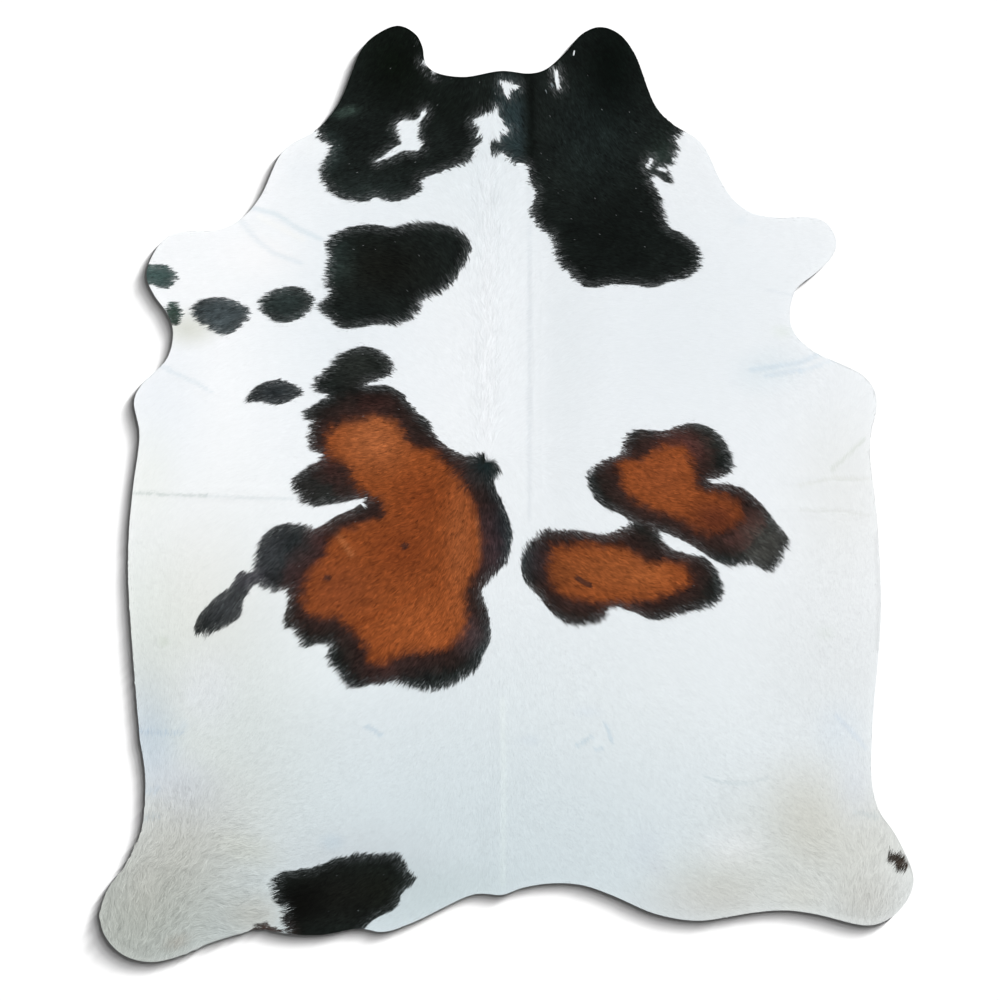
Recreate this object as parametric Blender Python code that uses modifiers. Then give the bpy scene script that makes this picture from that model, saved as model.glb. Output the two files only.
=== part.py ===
"""Cowhide rug: one whole tanned hide with its coat on, lying flat.

Metres, +Z up. The neck points to +Y and the tail to -Y. The origin is in the middle of the
rug's box, on the surface it lies on. The one sheet keeps its thickness everywhere. Its lower
face lies on z = 0 and rises off it only under the creases and where the edge curls up a little.
"""

import math

import bmesh
import bpy
import numpy as np
from mathutils.geometry import delaunay_2d_cdt

# Driving sizes, in metres.
HIDE_WIDTH = 1.870
HIDE_LENGTH = 2.153
LEATHER_THICKNESS = 0.0020
COAT_THICKNESS = 0.0025

# Spacing of the sheet's points, in metres.
EDGE_SPACING = 0.017
INNER_SPACING = 0.042
CREASE_SPACING = 0.028
EDGE_MARGIN = 0.020
CREASE_MARGIN = 0.020
CROWDED = 0.005

# Rows of points over each crease, as shares of its half width.
CREASE_ROWS = (-1.0, -0.5, 0.0, 0.5, 1.0)

# Share of a crease's length over which its crest dies away at each end.
FADE_SHARE = 0.3
CURL_SHARPNESS = 1.5

# Settings of the curve and of the triangulation.
CURVE_STEPS = 24
MERGE_DISTANCE = 1e-7
INSIDE_ONLY = 1

MM = 0.001

# The cut edge in millimetres, counter-clockwise from the left ear as seen from above:
# (across, along), across to the right and along towards the neck.
OUTLINE = (
    ("left ear", (
        (-250, 1077), (-306, 1053), (-333, 1025), (-388, 897), (-439, 837),
    )),
    ("left cheek", (
        (-513, 791), (-568, 683), (-607, 637), (-657, 609),
    )),
    ("left foreleg", (
        (-756, 601), (-793, 582), (-830, 506), (-812, 457), (-786, 421), (-769, 377),
        (-782, 312),
    )),
    ("left flank", (
        (-836, 257), (-858, 217), (-846, 138), (-861, 12), (-871, -106), (-871, -217),
        (-844, -566), (-833, -642),
    )),
    ("left hind leg", (
        (-841, -773), (-878, -854), (-918, -908), (-936, -963), (-928, -1012), (-888, -1058),
        (-828, -1077), (-768, -1068), (-684, -1034), (-614, -1012),
    )),
    ("tail edge, left half", (
        (-569, -999), (-519, -1010), (-430, -1015), (-340, -1000), (-286, -1008), (-221, -988),
        (-82, -923), (-52, -920),
    )),
    ("tail edge, right half", (
        (-12, -923), (38, -906), (108, -896), (177, -901), (253, -928), (338, -965),
    )),
    ("right hind leg", (
        (438, -982), (570, -963), (641, -958), (711, -967), (834, -993), (883, -976),
        (923, -932), (936, -884), (896, -787), (857, -729),
    )),
    ("right flank", (
        (841, -672), (841, -541), (861, -276), (853, -67), (836, 96), (840, 147),
    )),
    ("right shoulder", (
        (850, 191), (848, 232), (821, 271), (701, 331), (661, 371), (651, 409),
    )),
    ("right foreleg", (
        (666, 470), (711, 508), (746, 542), (759, 577), (741, 617), (711, 634), (611, 636),
    )),
    ("right cheek", (
        (562, 647), (521, 677), (491, 722), (447, 807),
    )),
    ("right ear", (
        (377, 854), (342, 892), (292, 1016), (257, 1059), (214, 1074), (173, 1058), (133, 1014),
        (88, 976),
    )),
    ("nape", (
        (53, 967), (-12, 973), (-102, 959), (-167, 971), (-188, 991), (-194, 1026),
        (-209, 1056),
    )),
)

# Creases and soft folds in millimetres: name, start (across, along), end (across, along),
# height of the crest and half of the width at its foot.
CREASES = (
    ("middle crease, neck", (60, 950), (62, 560), 5.0, 16),
    ("middle crease, back", (62, 560), (63, -160), 4.0, 16),
    ("withers parting", (-44, 860), (-40, 110), 2.0, 30),
    ("rump ridge", (-14, -420), (-16, -880), 2.5, 24),
    ("left flank crease", (-846, 1), (-480, -6), 5.0, 18),
    ("left shoulder fold, upper", (-600, 672), (-425, 580), 4.5, 32),
    ("left shoulder fold, lower", (-598, 622), (-470, 535), 4.0, 28),
    ("left armpit crease", (-785, 292), (-660, 222), 4.0, 22),
    ("left thigh crease", (-820, -345), (-740, -300), 3.0, 20),
    ("right shoulder crease", (655, 345), (530, 282), 4.0, 26),
    ("right flank crease, upper", (660, 22), (840, 33), 3.5, 20),
    ("right flank crease, lower", (600, -38), (838, -50), 3.5, 20),
    ("right thigh crease", (860, -745), (800, -700), 3.5, 22),
    ("rump smile line", (445, -662), (655, -664), 2.0, 16),
)

# Places where the sheet curls up off the floor, in millimetres: name, centre (across, along),
# reach and height.
CURLS = (
    ("left ear tip", (-255, 1090), 130, 6.0),
    ("right ear tip", (215, 1090), 130, 6.0),
    ("left foreleg tip", (-845, 545), 150, 7.0),
    ("right foreleg tip", (775, 585), 150, 6.0),
    ("left shoulder edge", (-875, 190), 140, 6.0),
    ("left flank edge", (-885, -330), 210, 5.0),
    ("left hind leg tip", (-950, -1040), 210, 8.0),
    ("tail edge, left", (-430, -1035), 150, 5.0),
    ("tail edge, right", (440, -1005), 200, 6.0),
    ("right hind leg tip", (950, -920), 190, 7.0),
    ("right flank edge", (880, -130), 170, 4.5),
)

COAT_COLOUR = (0.80, 0.82, 0.81, 1.0)
COAT_ROUGHNESS = 0.65


def closed_curve(points, spacing):
    """Points at an even spacing along a smooth closed curve through the given ones."""
    fine = []
    for before, start, end, after in zip(
        np.roll(points, 1, 0), points, np.roll(points, -1, 0), np.roll(points, -2, 0)
    ):
        knots = [0.0]
        for first, second in ((before, start), (start, end), (end, after)):
            knots.append(knots[-1] + math.sqrt(np.linalg.norm(second - first)))
        t0, t1, t2, t3 = knots
        t = np.linspace(t1, t2, CURVE_STEPS, endpoint=False)[:, None]
        a1 = (t1 - t) / (t1 - t0) * before + (t - t0) / (t1 - t0) * start
        a2 = (t2 - t) / (t2 - t1) * start + (t - t1) / (t2 - t1) * end
        a3 = (t3 - t) / (t3 - t2) * end + (t - t2) / (t3 - t2) * after
        b1 = (t2 - t) / (t2 - t0) * a1 + (t - t0) / (t2 - t0) * a2
        b2 = (t3 - t) / (t3 - t1) * a2 + (t - t1) / (t3 - t1) * a3
        fine.append((t2 - t) / (t2 - t1) * b1 + (t - t1) / (t2 - t1) * b2)
    fine = np.vstack(fine)
    ring = np.vstack((fine, fine[:1]))
    travelled = np.concatenate(([0.0], np.cumsum(np.linalg.norm(np.diff(ring, axis=0), axis=1))))
    count = round(travelled[-1] / spacing)
    wanted = np.linspace(0.0, travelled[-1], count, endpoint=False)
    return np.column_stack([np.interp(wanted, travelled, ring[:, axis]) for axis in (0, 1)])


def hide_edge():
    """The cut edge in metres, centred on the origin and scaled to the driving sizes."""
    points = [point for _, stretch in OUTLINE for point in stretch]
    edge = closed_curve(np.array(points) * MM, EDGE_SPACING)
    low, high = edge.min(axis=0), edge.max(axis=0)
    return (edge - (low + high) / 2) * (np.array((HIDE_WIDTH, HIDE_LENGTH)) / (high - low))


def smooth_step(x):
    """0 below 0, 1 above 1, and an even slope change between."""
    x = np.clip(x, 0.0, 1.0)
    return x * x * (3.0 - 2.0 * x)


def distance_to_line(places, start, end):
    """Distance of each place from a straight line, and how far along it the place lies."""
    way = end - start
    length = np.linalg.norm(way)
    along = np.clip((places - start) @ (way / length), 0.0, length)
    nearest = start + along[:, None] * (way / length)
    return np.linalg.norm(places - nearest, axis=1), along, length


def rise(places):
    """Height of the sheet's lower face over the floor at each place, in metres."""
    height = np.zeros(len(places))
    for _, start, end, crest, half_width in CREASES:
        away, along, length = distance_to_line(
            places, np.array(start) * MM, np.array(end) * MM
        )
        fade = FADE_SHARE * length
        taper = smooth_step((length - along) / fade) * smooth_step((along + fade / 2) / fade)
        height += crest * MM * taper * smooth_step(1.0 - away / (half_width * MM))
    for _, centre, reach, lift in CURLS:
        away = np.linalg.norm(places - np.array(centre) * MM, axis=1)
        height += lift * MM * smooth_step(1.0 - away / (reach * MM)) ** CURL_SHARPNESS
    return height


def inside(places, ring):
    """True for each place that lies inside the closed ring."""
    x, y = places[:, :1], places[:, 1:]
    x0, y0 = ring[:, 0], ring[:, 1]
    x1, y1 = np.roll(x0, -1), np.roll(y0, -1)
    spans = (y0 > y) != (y1 > y)
    with np.errstate(divide="ignore", invalid="ignore"):
        crosses = x < (x1 - x0) * (y - y0) / (y1 - y0) + x0
    return (spans & crosses).sum(axis=1) % 2 == 1


def clear_of(places, others, gap):
    """True for each place that keeps the gap from all the others."""
    apart = np.linalg.norm(places[:, None] - others[None], axis=2)
    return apart.min(axis=1) > gap


def crease_points():
    """Rows of points on the crest, the slopes and the feet of each crease."""
    rows = []
    for _, start, end, _, half_width in CREASES:
        start, end = np.array(start) * MM, np.array(end) * MM
        way = end - start
        length = np.linalg.norm(way)
        side = np.array((-way[1], way[0])) / length
        steps = np.linspace(0.0, 1.0, max(3, round(length / CREASE_SPACING)) + 1)
        for share in CREASE_ROWS:
            rows.append(start + steps[:, None] * way + side * share * half_width * MM)
    return np.vstack(rows)


def spread_out(places, gap):
    """The places without those that crowd one before them."""
    kept = places[:1]
    for place in places[1:]:
        if clear_of(place[None], kept, gap)[0]:
            kept = np.vstack((kept, place))
    return kept


def staggered_grid(edge):
    """Points in staggered rows over the box of the edge."""
    low, high = edge.min(axis=0), edge.max(axis=0)
    row_gap = INNER_SPACING * math.sqrt(3) / 2
    grid = []
    for row, y in enumerate(np.arange(low[1], high[1], row_gap)):
        shift = INNER_SPACING / 2 * (row % 2)
        grid += [(x + shift, y) for x in np.arange(low[0], high[0], INNER_SPACING)]
    return np.array(grid)


def inner_points(edge):
    """The sheet's points inside its edge: the creases' own rows and a grid between them."""
    creases = crease_points()
    creases = creases[inside(creases, edge)]
    creases = creases[clear_of(creases, edge, EDGE_MARGIN / 2)]
    creases = spread_out(creases, CROWDED)
    grid = staggered_grid(edge)
    grid = grid[inside(grid, edge)]
    grid = grid[clear_of(grid, edge, EDGE_MARGIN)]
    grid = grid[clear_of(grid, creases, CREASE_MARGIN)]
    return np.vstack((creases, grid))


def sheet_mesh():
    """The hide's lower face as one open sheet of triangles, facing up."""
    edge = hide_edge()
    flat = np.vstack((edge, inner_points(edge)))
    ring = list(range(len(edge)))
    places, _, faces, *_ = delaunay_2d_cdt(
        [tuple(place) for place in flat], [], [ring], INSIDE_ONLY, MERGE_DISTANCE
    )
    heights = rise(np.array([tuple(place) for place in places]))
    mesh = bpy.data.meshes.new("hide")
    mesh.from_pydata([(*place, z) for place, z in zip(places, heights)], [], faces)
    shape = bmesh.new()
    shape.from_mesh(mesh)
    if sum(face.normal.z for face in shape.faces) < 0:
        bmesh.ops.reverse_faces(shape, faces=shape.faces)
    shape.to_mesh(mesh)
    shape.free()
    mesh.update()
    return mesh


def coat_material():
    """The coat's plain colour and finish."""
    material = bpy.data.materials.new("coat")
    material.use_nodes = True
    shader = material.node_tree.nodes["Principled BSDF"]
    shader.inputs["Base Color"].default_value = COAT_COLOUR
    shader.inputs["Roughness"].default_value = COAT_ROUGHNESS
    shader.inputs["Metallic"].default_value = 0.0
    return material


def hide():
    """The whole hide: its sheet thickened upwards by the leather and the coat on it."""
    rug = bpy.data.objects.new("hide", sheet_mesh())
    rug.data.materials.append(coat_material())
    thicken = rug.modifiers.new("leather and coat", "SOLIDIFY")
    thicken.thickness = LEATHER_THICKNESS + COAT_THICKNESS
    thicken.offset = 1.0
    return rug


def main():
    for old in list(bpy.data.objects):
        bpy.data.objects.remove(old)
    collection = bpy.data.collections.new("cowhide rug")
    bpy.context.scene.collection.children.link(collection)
    collection.objects.link(hide())


main()
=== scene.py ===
"""Looks of the cowhide rug: a thin leather sheet with its coat of short hair, lying on a floor.

Metres, +Z up, in the frame's own axes: the neck points to +Y and the tail to -Y. The tables below
are in millimetres and degrees, with (across, along) places: across to the right, along to the neck.
"""

import math

import bmesh
import bpy
import numpy as np
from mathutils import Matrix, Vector
from mathutils.bvhtree import BVHTree
from mathutils.geometry import delaunay_2d_cdt


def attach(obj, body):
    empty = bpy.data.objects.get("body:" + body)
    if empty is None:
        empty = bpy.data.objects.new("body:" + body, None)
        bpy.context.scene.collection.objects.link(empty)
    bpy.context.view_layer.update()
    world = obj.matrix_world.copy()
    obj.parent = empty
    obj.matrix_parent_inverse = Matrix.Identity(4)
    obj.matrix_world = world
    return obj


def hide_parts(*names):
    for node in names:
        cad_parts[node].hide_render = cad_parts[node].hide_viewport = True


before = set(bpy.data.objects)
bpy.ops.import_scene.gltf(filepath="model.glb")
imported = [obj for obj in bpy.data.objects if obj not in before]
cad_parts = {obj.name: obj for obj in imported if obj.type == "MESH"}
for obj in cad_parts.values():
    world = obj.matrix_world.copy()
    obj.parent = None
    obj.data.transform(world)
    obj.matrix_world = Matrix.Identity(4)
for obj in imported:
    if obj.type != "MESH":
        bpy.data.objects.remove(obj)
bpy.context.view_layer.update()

MM = 0.001
FAR = 1.0
TINY = 1e-12

# Seeds of the random draws.
CLUMP_SEED, OWN_CLUMP_SEED, WAVE_SEED, CURL_SEED, STRAY_SEED = 13, 14, 15, 16, 17
BLADE_SEED, TUFT_SEED = 20, 50
RUST_SEED, MOTTLE_SEED, FINE_MOTTLE_SEED, SHEEN_SEED = 31, 32, 33, 34

# Reading the frame: points this close are one, and the tilt of a face's normal tells whether it
# is on the underside or the cut edge.
JOIN_DISTANCE = 0.01 * MM
UNDERSIDE_TILT = -0.7
CUT_EDGE_TILT = 0.5

# The leather sheet, with rows of points over its creases at shares of their half width.
LEATHER_THICKNESS = 2.0 * MM
RIM_SPACING = 6 * MM
SHEET_SPACING = 17 * MM
CREASE_SPACING = 7 * MM
RIM_MARGIN = 5 * MM
CREASE_MARGIN = 5 * MM
CREASE_ROWS = (-1.6, -0.96, -0.48, 0.0, 0.48, 0.96, 1.6)
CREASE_FADE = 0.2
SKIN_BLEND = 3 * MM

# The even grid on which heights, edge distances and the lie of the hair are kept.
GRID_PITCH = 6 * MM
GRID_MARGIN = 36 * MM
LAST_CELL = 1.001
SMOOTHING_PASSES = 2

# How much of the frame's lift the thin sheet keeps at its cut edge, and how far in that reaches.
EDGE_LIFT_KEPT = 0.03
EDGE_LIFT_REACH = 220 * MM

# Cross-sections along a blade of hair: shares of its length, of its width and of its lift. One
# with no width is a single point.
FLAT = ((0.0, 1.0, 0.0), (1.0, 0.0, 1.0))
KITE = ((0.0, 0.0, 0.0), (0.42, 1.0, 0.7), (1.0, 0.0, 1.0))
LOCK = ((0.0, 0.0, 0.0), (0.25, 0.9, 0.6), (0.5, 1.0, 0.9), (0.75, 0.7, 1.0), (1.0, 0.0, 0.95))

# Kinds of hair, where one blade stands for a few hairs that lie together: name, spacing, widths
# and lifts in millimetres, a factor on the length, and the cross-sections.
HAIR = (
    ("sleek", 2.95, (1.8, 3.0), (0.42, 0.9), 1.0, FLAT),
    ("short", 3.0, (1.6, 2.6), (0.5, 1.05), 1.0, KITE),
    ("fringe", 2.5, (1.0, 1.8), (0.8, 1.9), 1.2, KITE),
    ("wavy", 3.2, (1.0, 1.7), (1.2, 2.6), 1.3, LOCK),
    ("feather", 3.1, (1.0, 1.8), (0.6, 1.6), 2.1, LOCK),
)

# Where the kinds of hair stand: the fringe along the edges of the markings, the feather along the
# middle of the neck and back, and the others by how ruffled the coat is. Stray hair mingles them.
FRINGE_REACH = 20 * MM
FEATHER = ((-43, 768), (-47, 112))
FEATHER_REACH = 21 * MM
FEATHER_RUFFLE = 0.75
WAVY_FROM = 0.62
SHORT_FROM = 0.22
STRAY_SIZE = 4 * MM
STRAY_REACH = 9 * MM
STRAY_RUFFLE = 0.13

# How high the hair starts, and how much less it rises in a white fringe, where it is barely wavy
# and close to the cut edge.
ROOT_LIFT = 0.15 * MM
PALE_FRINGE_LIFT = 0.4
TAME_LIFT = 0.4
EDGE_LIFT = 0.2
EDGE_TAMED = 22 * MM

# How the blades differ, by clumps that lean together and each by itself.
CLUMP_SIZE = 5.5 * MM
CLUMP_JITTER = (0.1, 0.9)
CLUMP_PULL = 0.4
CLUMP_SPREAD = 0.15
LENGTH_SPREAD = 0.2
ROOT_JITTER = 0.48
HEADING_SPREAD = math.radians(7)
LEAST_BEND = 0.5
WAVE_SIZE = 60 * MM
WAVE_ANGLE = math.radians(14)
CURL_SIZE = 11 * MM
CURL_ANGLE = math.radians(34)
ROLL = 0.35
LEAST_ROLL = 0.4
STRAND_STEP = 8.0

# How far inside the cut edge the roots stay, and how far the tips reach over it.
EDGE_INSET = 0.6 * MM
OVER_THE_EDGE = 0.3 * MM

# Share of a blade's own normal in its shading, and how much more of it ruffled hair has.
OWN_NORMAL = (0.04, 0.36)

# Pale specks of lint in the black: how common they are, how much shorter, narrower and higher
# than the hair, and how much of the black they take away.
LINT_SHARE = 0.0012
LINT_LENGTH = 0.4
LINT_WIDTH = 0.5
LINT_LIFT = 1.5
LINT_TONE = 0.2

# Distance from the markings: the spacing of their outlines' points, how near an edge it is worked
# out afresh, and how far it is followed.
MARK_SPACING = 5 * MM
NEAR_MARK = 30 * MM
MARK_REACH = 60 * MM

# A blade takes its colour at this share of its length, from a place that its clump and its own
# draw shift along it, by smaller shares of that at the windows and the narrow marks.
READ_AT = 0.6
CLUMP_SHIFT = 5.0 * MM
BLADE_SHIFT = 1.8 * MM
WINDOW_SHIFT = 0.25
STROKE_SHIFT = 0.3

# The edges of the markings.
MARK_INSET = 1.5 * MM
WINDOW_OUTSET = 0.8 * MM
MARK_BLEND = 1.2 * MM

# White hairs in the black, most of all near its edge.
GRIZZLE = 0.045
GRIZZLE_REACH = 26 * MM
MOST_GRIZZLE = 0.3

# The rust inside the black: how it fades to black, how its edge wanders, the dark red glow
# outside it, how deep its spots are, and the red from which a colour counts as rust.
RUST_BLEND = 17 * MM
RUST_POWER = 1.3
RUST_SHIFT = 7 * MM
RUST_SHIFT_SIZE = 14 * MM
EMBER = np.array((4.4, 1.5, 1.4))
EMBER_REACH = 75 * MM
SPOT_DEPTH = 0.8
RED_FROM = 0.1

# Clouds in the tone of the markings, and broader clouds of painted sheen on the black.
MOTTLE_SIZE = 9 * MM
RUST_MOTTLE = 0.14
BLACK_MOTTLE = 0.20
SHEEN_SIZE = 38 * MM
SHEEN = 0.22

# How uneven the tone of the hair is: in the marks, with the rust more even; in the white, at least
# and more with its ruffle and the ruffle's fourth power; and the least that a tone falls to.
DARK_UNEVEN = 0.24
RUST_EVENS = 0.06
WHITE_UNEVEN = (0.009, 0.012, 0.072)
DARKEST_TONE = 0.3

# The camera: how many metres the photograph spans, and where its middle is.
PHOTO_WIDTH = 2.300
PHOTO_CENTRE = (-15.8 * MM, -14.1 * MM)
CAMERA_HEIGHT = 6.0
SENSOR_WIDTH = 36.0

# The light on the coat: two suns with a strength, an elevation and an angle.
LIGHT_AZIMUTH = 45
COAT_SUNS = (("sky", 2.86, 90, 80), ("key", 0.60, 55, 50))
WORLD_STRENGTH = 0.06

# The floor, and the light on it in parts that each have an elevation, an angle and a share.
FLOOR_HALF = 12.0
FLOOR_DROP = 0.5 * MM
FLOOR_WHITE = 0.80
FLOOR_LIGHT = 3.95
FLOOR_SUNS = ((4.0, 1.5, 0.29), (5.6, 2.3, 0.28), (9.0, 5.0, 0.22), (17, 14, 0.17), (50, 55, 0.04))

# Creases and soft folds finer than the frame's: name, start, end, height of the crest and half
# of the width at its foot.
CREASES = (
    ("middle crease, neck", (60, 950), (62, 560), 1.0, 8),
    ("middle crease, back", (62, 560), (63, -160), 1.0, 8),
    ("rump ridge", (-14, -420), (-16, -880), 0.6, 12),
    ("left flank crease", (-846, 1), (-480, -6), 1.2, 9),
    ("left shoulder fold, upper", (-600, 672), (-425, 580), 0.8, 14),
    ("left shoulder fold, lower", (-598, 622), (-470, 535), 0.8, 12),
    ("left armpit crease", (-785, 292), (-660, 222), 0.8, 12),
    ("right flank crease, upper", (660, 22), (840, 33), 1.0, 9),
    ("right flank crease, lower", (600, -38), (838, -50), 1.0, 9),
    ("rump smile line", (445, -662), (655, -664), 0.8, 8),
)

# The lie of the hair, in rows for each part of the hide: across, along, the way the hair points
# in degrees (0 right, 90 to the neck), its length and how ruffled it is, from 0 to 1.
LIE = {
    "forehead": ((-43, 940, 270, 15, 0.4), (-154, 929, 225, 15, 0.3), (53, 929, 300, 15, 0.3)),
    "beside the flame": ((-71, 850, 215, 16, 0.4), (-12, 850, 310, 18, 0.4)),
    "left ear, cheek and neck": (
        (-257, 1021, 240, 13, 0.3), (-372, 860, 205, 13, 0.3), (-246, 768, 203, 14, 0.3),
        (-131, 791, 205, 15, 0.3),
    ),
    "right ear, cheek and neck": (
        (214, 1021, 300, 13, 0.3), (168, 837, 295, 14, 0.3), (352, 883, 320, 13, 0.3),
        (53, 760, 325, 15, 0.3), (214, 676, 320, 14, 0.3), (352, 699, 330, 14, 0.3),
        (214, 538, 350, 15, 0.2), (398, 561, 350, 14, 0.1),
    ),
    "feather ridge": (
        (-43, 740, 90, 15, 0.8), (-43, 590, 90, 16, 0.8), (-43, 440, 90, 16, 0.8),
        (-43, 290, 90, 16, 0.8), (-48, 150, 92, 16, 0.6),
    ),
    "left of the feather": (
        (-76, 740, 135, 15, 0.5), (-76, 590, 122, 16, 0.6), (-76, 440, 120, 16, 0.6),
        (-78, 290, 120, 16, 0.6), (-88, 150, 135, 16, 0.4),
    ),
    "right of the feather": (
        (-10, 740, 45, 15, 0.5), (-10, 590, 55, 16, 0.5), (-10, 440, 60, 16, 0.5),
        (-10, 290, 60, 16, 0.5), (-8, 150, 45, 16, 0.4),
    ),
    "left back": ((-140, 590, 152, 17, 0.1), (-140, 400, 158, 17, 0.1), (-150, 200, 165, 17, 0.1)),
    "right back": ((50, 590, 5, 17, 0.1), (60, 400, 12, 17, 0.1), (60, 200, 10, 17, 0.1)),
    "left ribs": ((-330, 560, 178, 17, 0.1), (-400, 331, 181, 17, 0.1), (-330, 124, 186, 16, 0.2)),
    "left shoulder, foreleg and armpit": (
        (-591, 540, 183, 17, 0.1), (-750, 530, 186, 15, 0.2), (-700, 290, 205, 16, 0.2),
    ),
    "left flank and its edge": (
        (-700, 100, 200, 17, 0.2), (-821, 101, 235, 15, 0.2), (-660, -120, 215, 18, 0.2),
        (-815, -160, 272, 17, 0.3), (-800, -380, 290, 18, 0.4), (-620, -280, 225, 18, 0.3),
    ),
    "right ribs": ((300, 420, 2, 17, 0.1), (520, 331, -4, 17, 0.1), (400, 240, -6, 17, 0.1)),
    "right foreleg, shoulder and armpit": (
        (700, 570, 0, 15, 0.2), (560, 520, -2, 16, 0.1), (628, 285, -35, 16, 0.4),
    ),
    "right flank and its edge": (
        (640, 150, -45, 17, 0.2), (820, 170, 242, 16, 0.2), (700, -30, -55, 17, 0.2),
        (810, -120, 268, 17, 0.3), (800, -400, 277, 18, 0.3), (640, -400, -50, 18, 0.3),
    ),
    "whorl on the back": (
        (-52, 85, 95, 14, 0.5), (-90, 60, 212, 15, 0.4), (-15, 60, -50, 15, 0.4),
        (-50, 35, 268, 16, 0.5),
    ),
    "spine": (
        (-38, -70, 272, 17, 0.4), (-20, -250, 270, 17, 0.4), (-18, -450, 270, 18, 0.5),
        (-16, -650, 270, 18, 0.6), (-18, -850, 270, 18, 0.6),
    ),
    "left of the spine": (
        (-90, -90, 238, 17, 0.3), (-80, -300, 240, 17, 0.3), (-90, -600, 238, 18, 0.4),
        (-110, -850, 240, 18, 0.4),
    ),
    "right of the spine": (
        (20, -40, -50, 17, 0.3), (40, -300, -58, 17, 0.3), (50, -600, -58, 18, 0.4),
        (50, -850, -60, 18, 0.4),
    ),
    "left rust": ((-250, 60, 195, 16, 0.4), (-260, -130, 210, 17, 0.5), (-230, -320, 222, 17, 0.5)),
    "left loin and rump": (
        (-420, -200, 217, 17, 0.3), (-407, -474, 216, 18, 0.4), (-330, -700, 214, 19, 0.4),
        (-350, -930, 212, 17, 0.5),
    ),
    "left thigh": (
        (-735, -420, 262, 20, 0.6), (-700, -520, 230, 20, 0.6), (-815, -600, 268, 20, 0.6),
        (-640, -620, 222, 21, 0.6),
    ),
    "left hind leg": (
        (-745, -720, 268, 24, 0.9), (-610, -800, 184, 26, 0.9), (-500, -770, 195, 22, 0.6),
        (-620, -880, 176, 26, 0.9), (-640, -980, 167, 26, 0.9), (-850, -930, 264, 26, 1.0),
        (-780, -1030, 240, 24, 1.0), (-740, -860, 235, 26, 1.0),
    ),
    "right loin and rust": (
        (140, -190, -28, 17, 0.4), (330, -198, -24, 17, 0.4), (400, 30, -18, 17, 0.4),
        (560, -100, -38, 17, 0.4),
    ),
    "right rump": (
        (444, -474, -36, 18, 0.3), (260, -658, -42, 18, 0.4), (122, -760, -50, 18, 0.4),
        (250, -870, -45, 18, 0.5),
    ),
    "right thigh": ((600, -640, -40, 20, 0.5), (810, -640, 278, 19, 0.5)),
    "right hind leg": (
        (560, -820, -30, 24, 0.7), (700, -850, -34, 26, 0.78), (600, -930, -22, 22, 0.72),
        (830, -900, 262, 24, 0.8), (890, -880, 242, 22, 0.8),
    ),
}
LIE_SOFTNESS = 45 * MM

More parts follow.
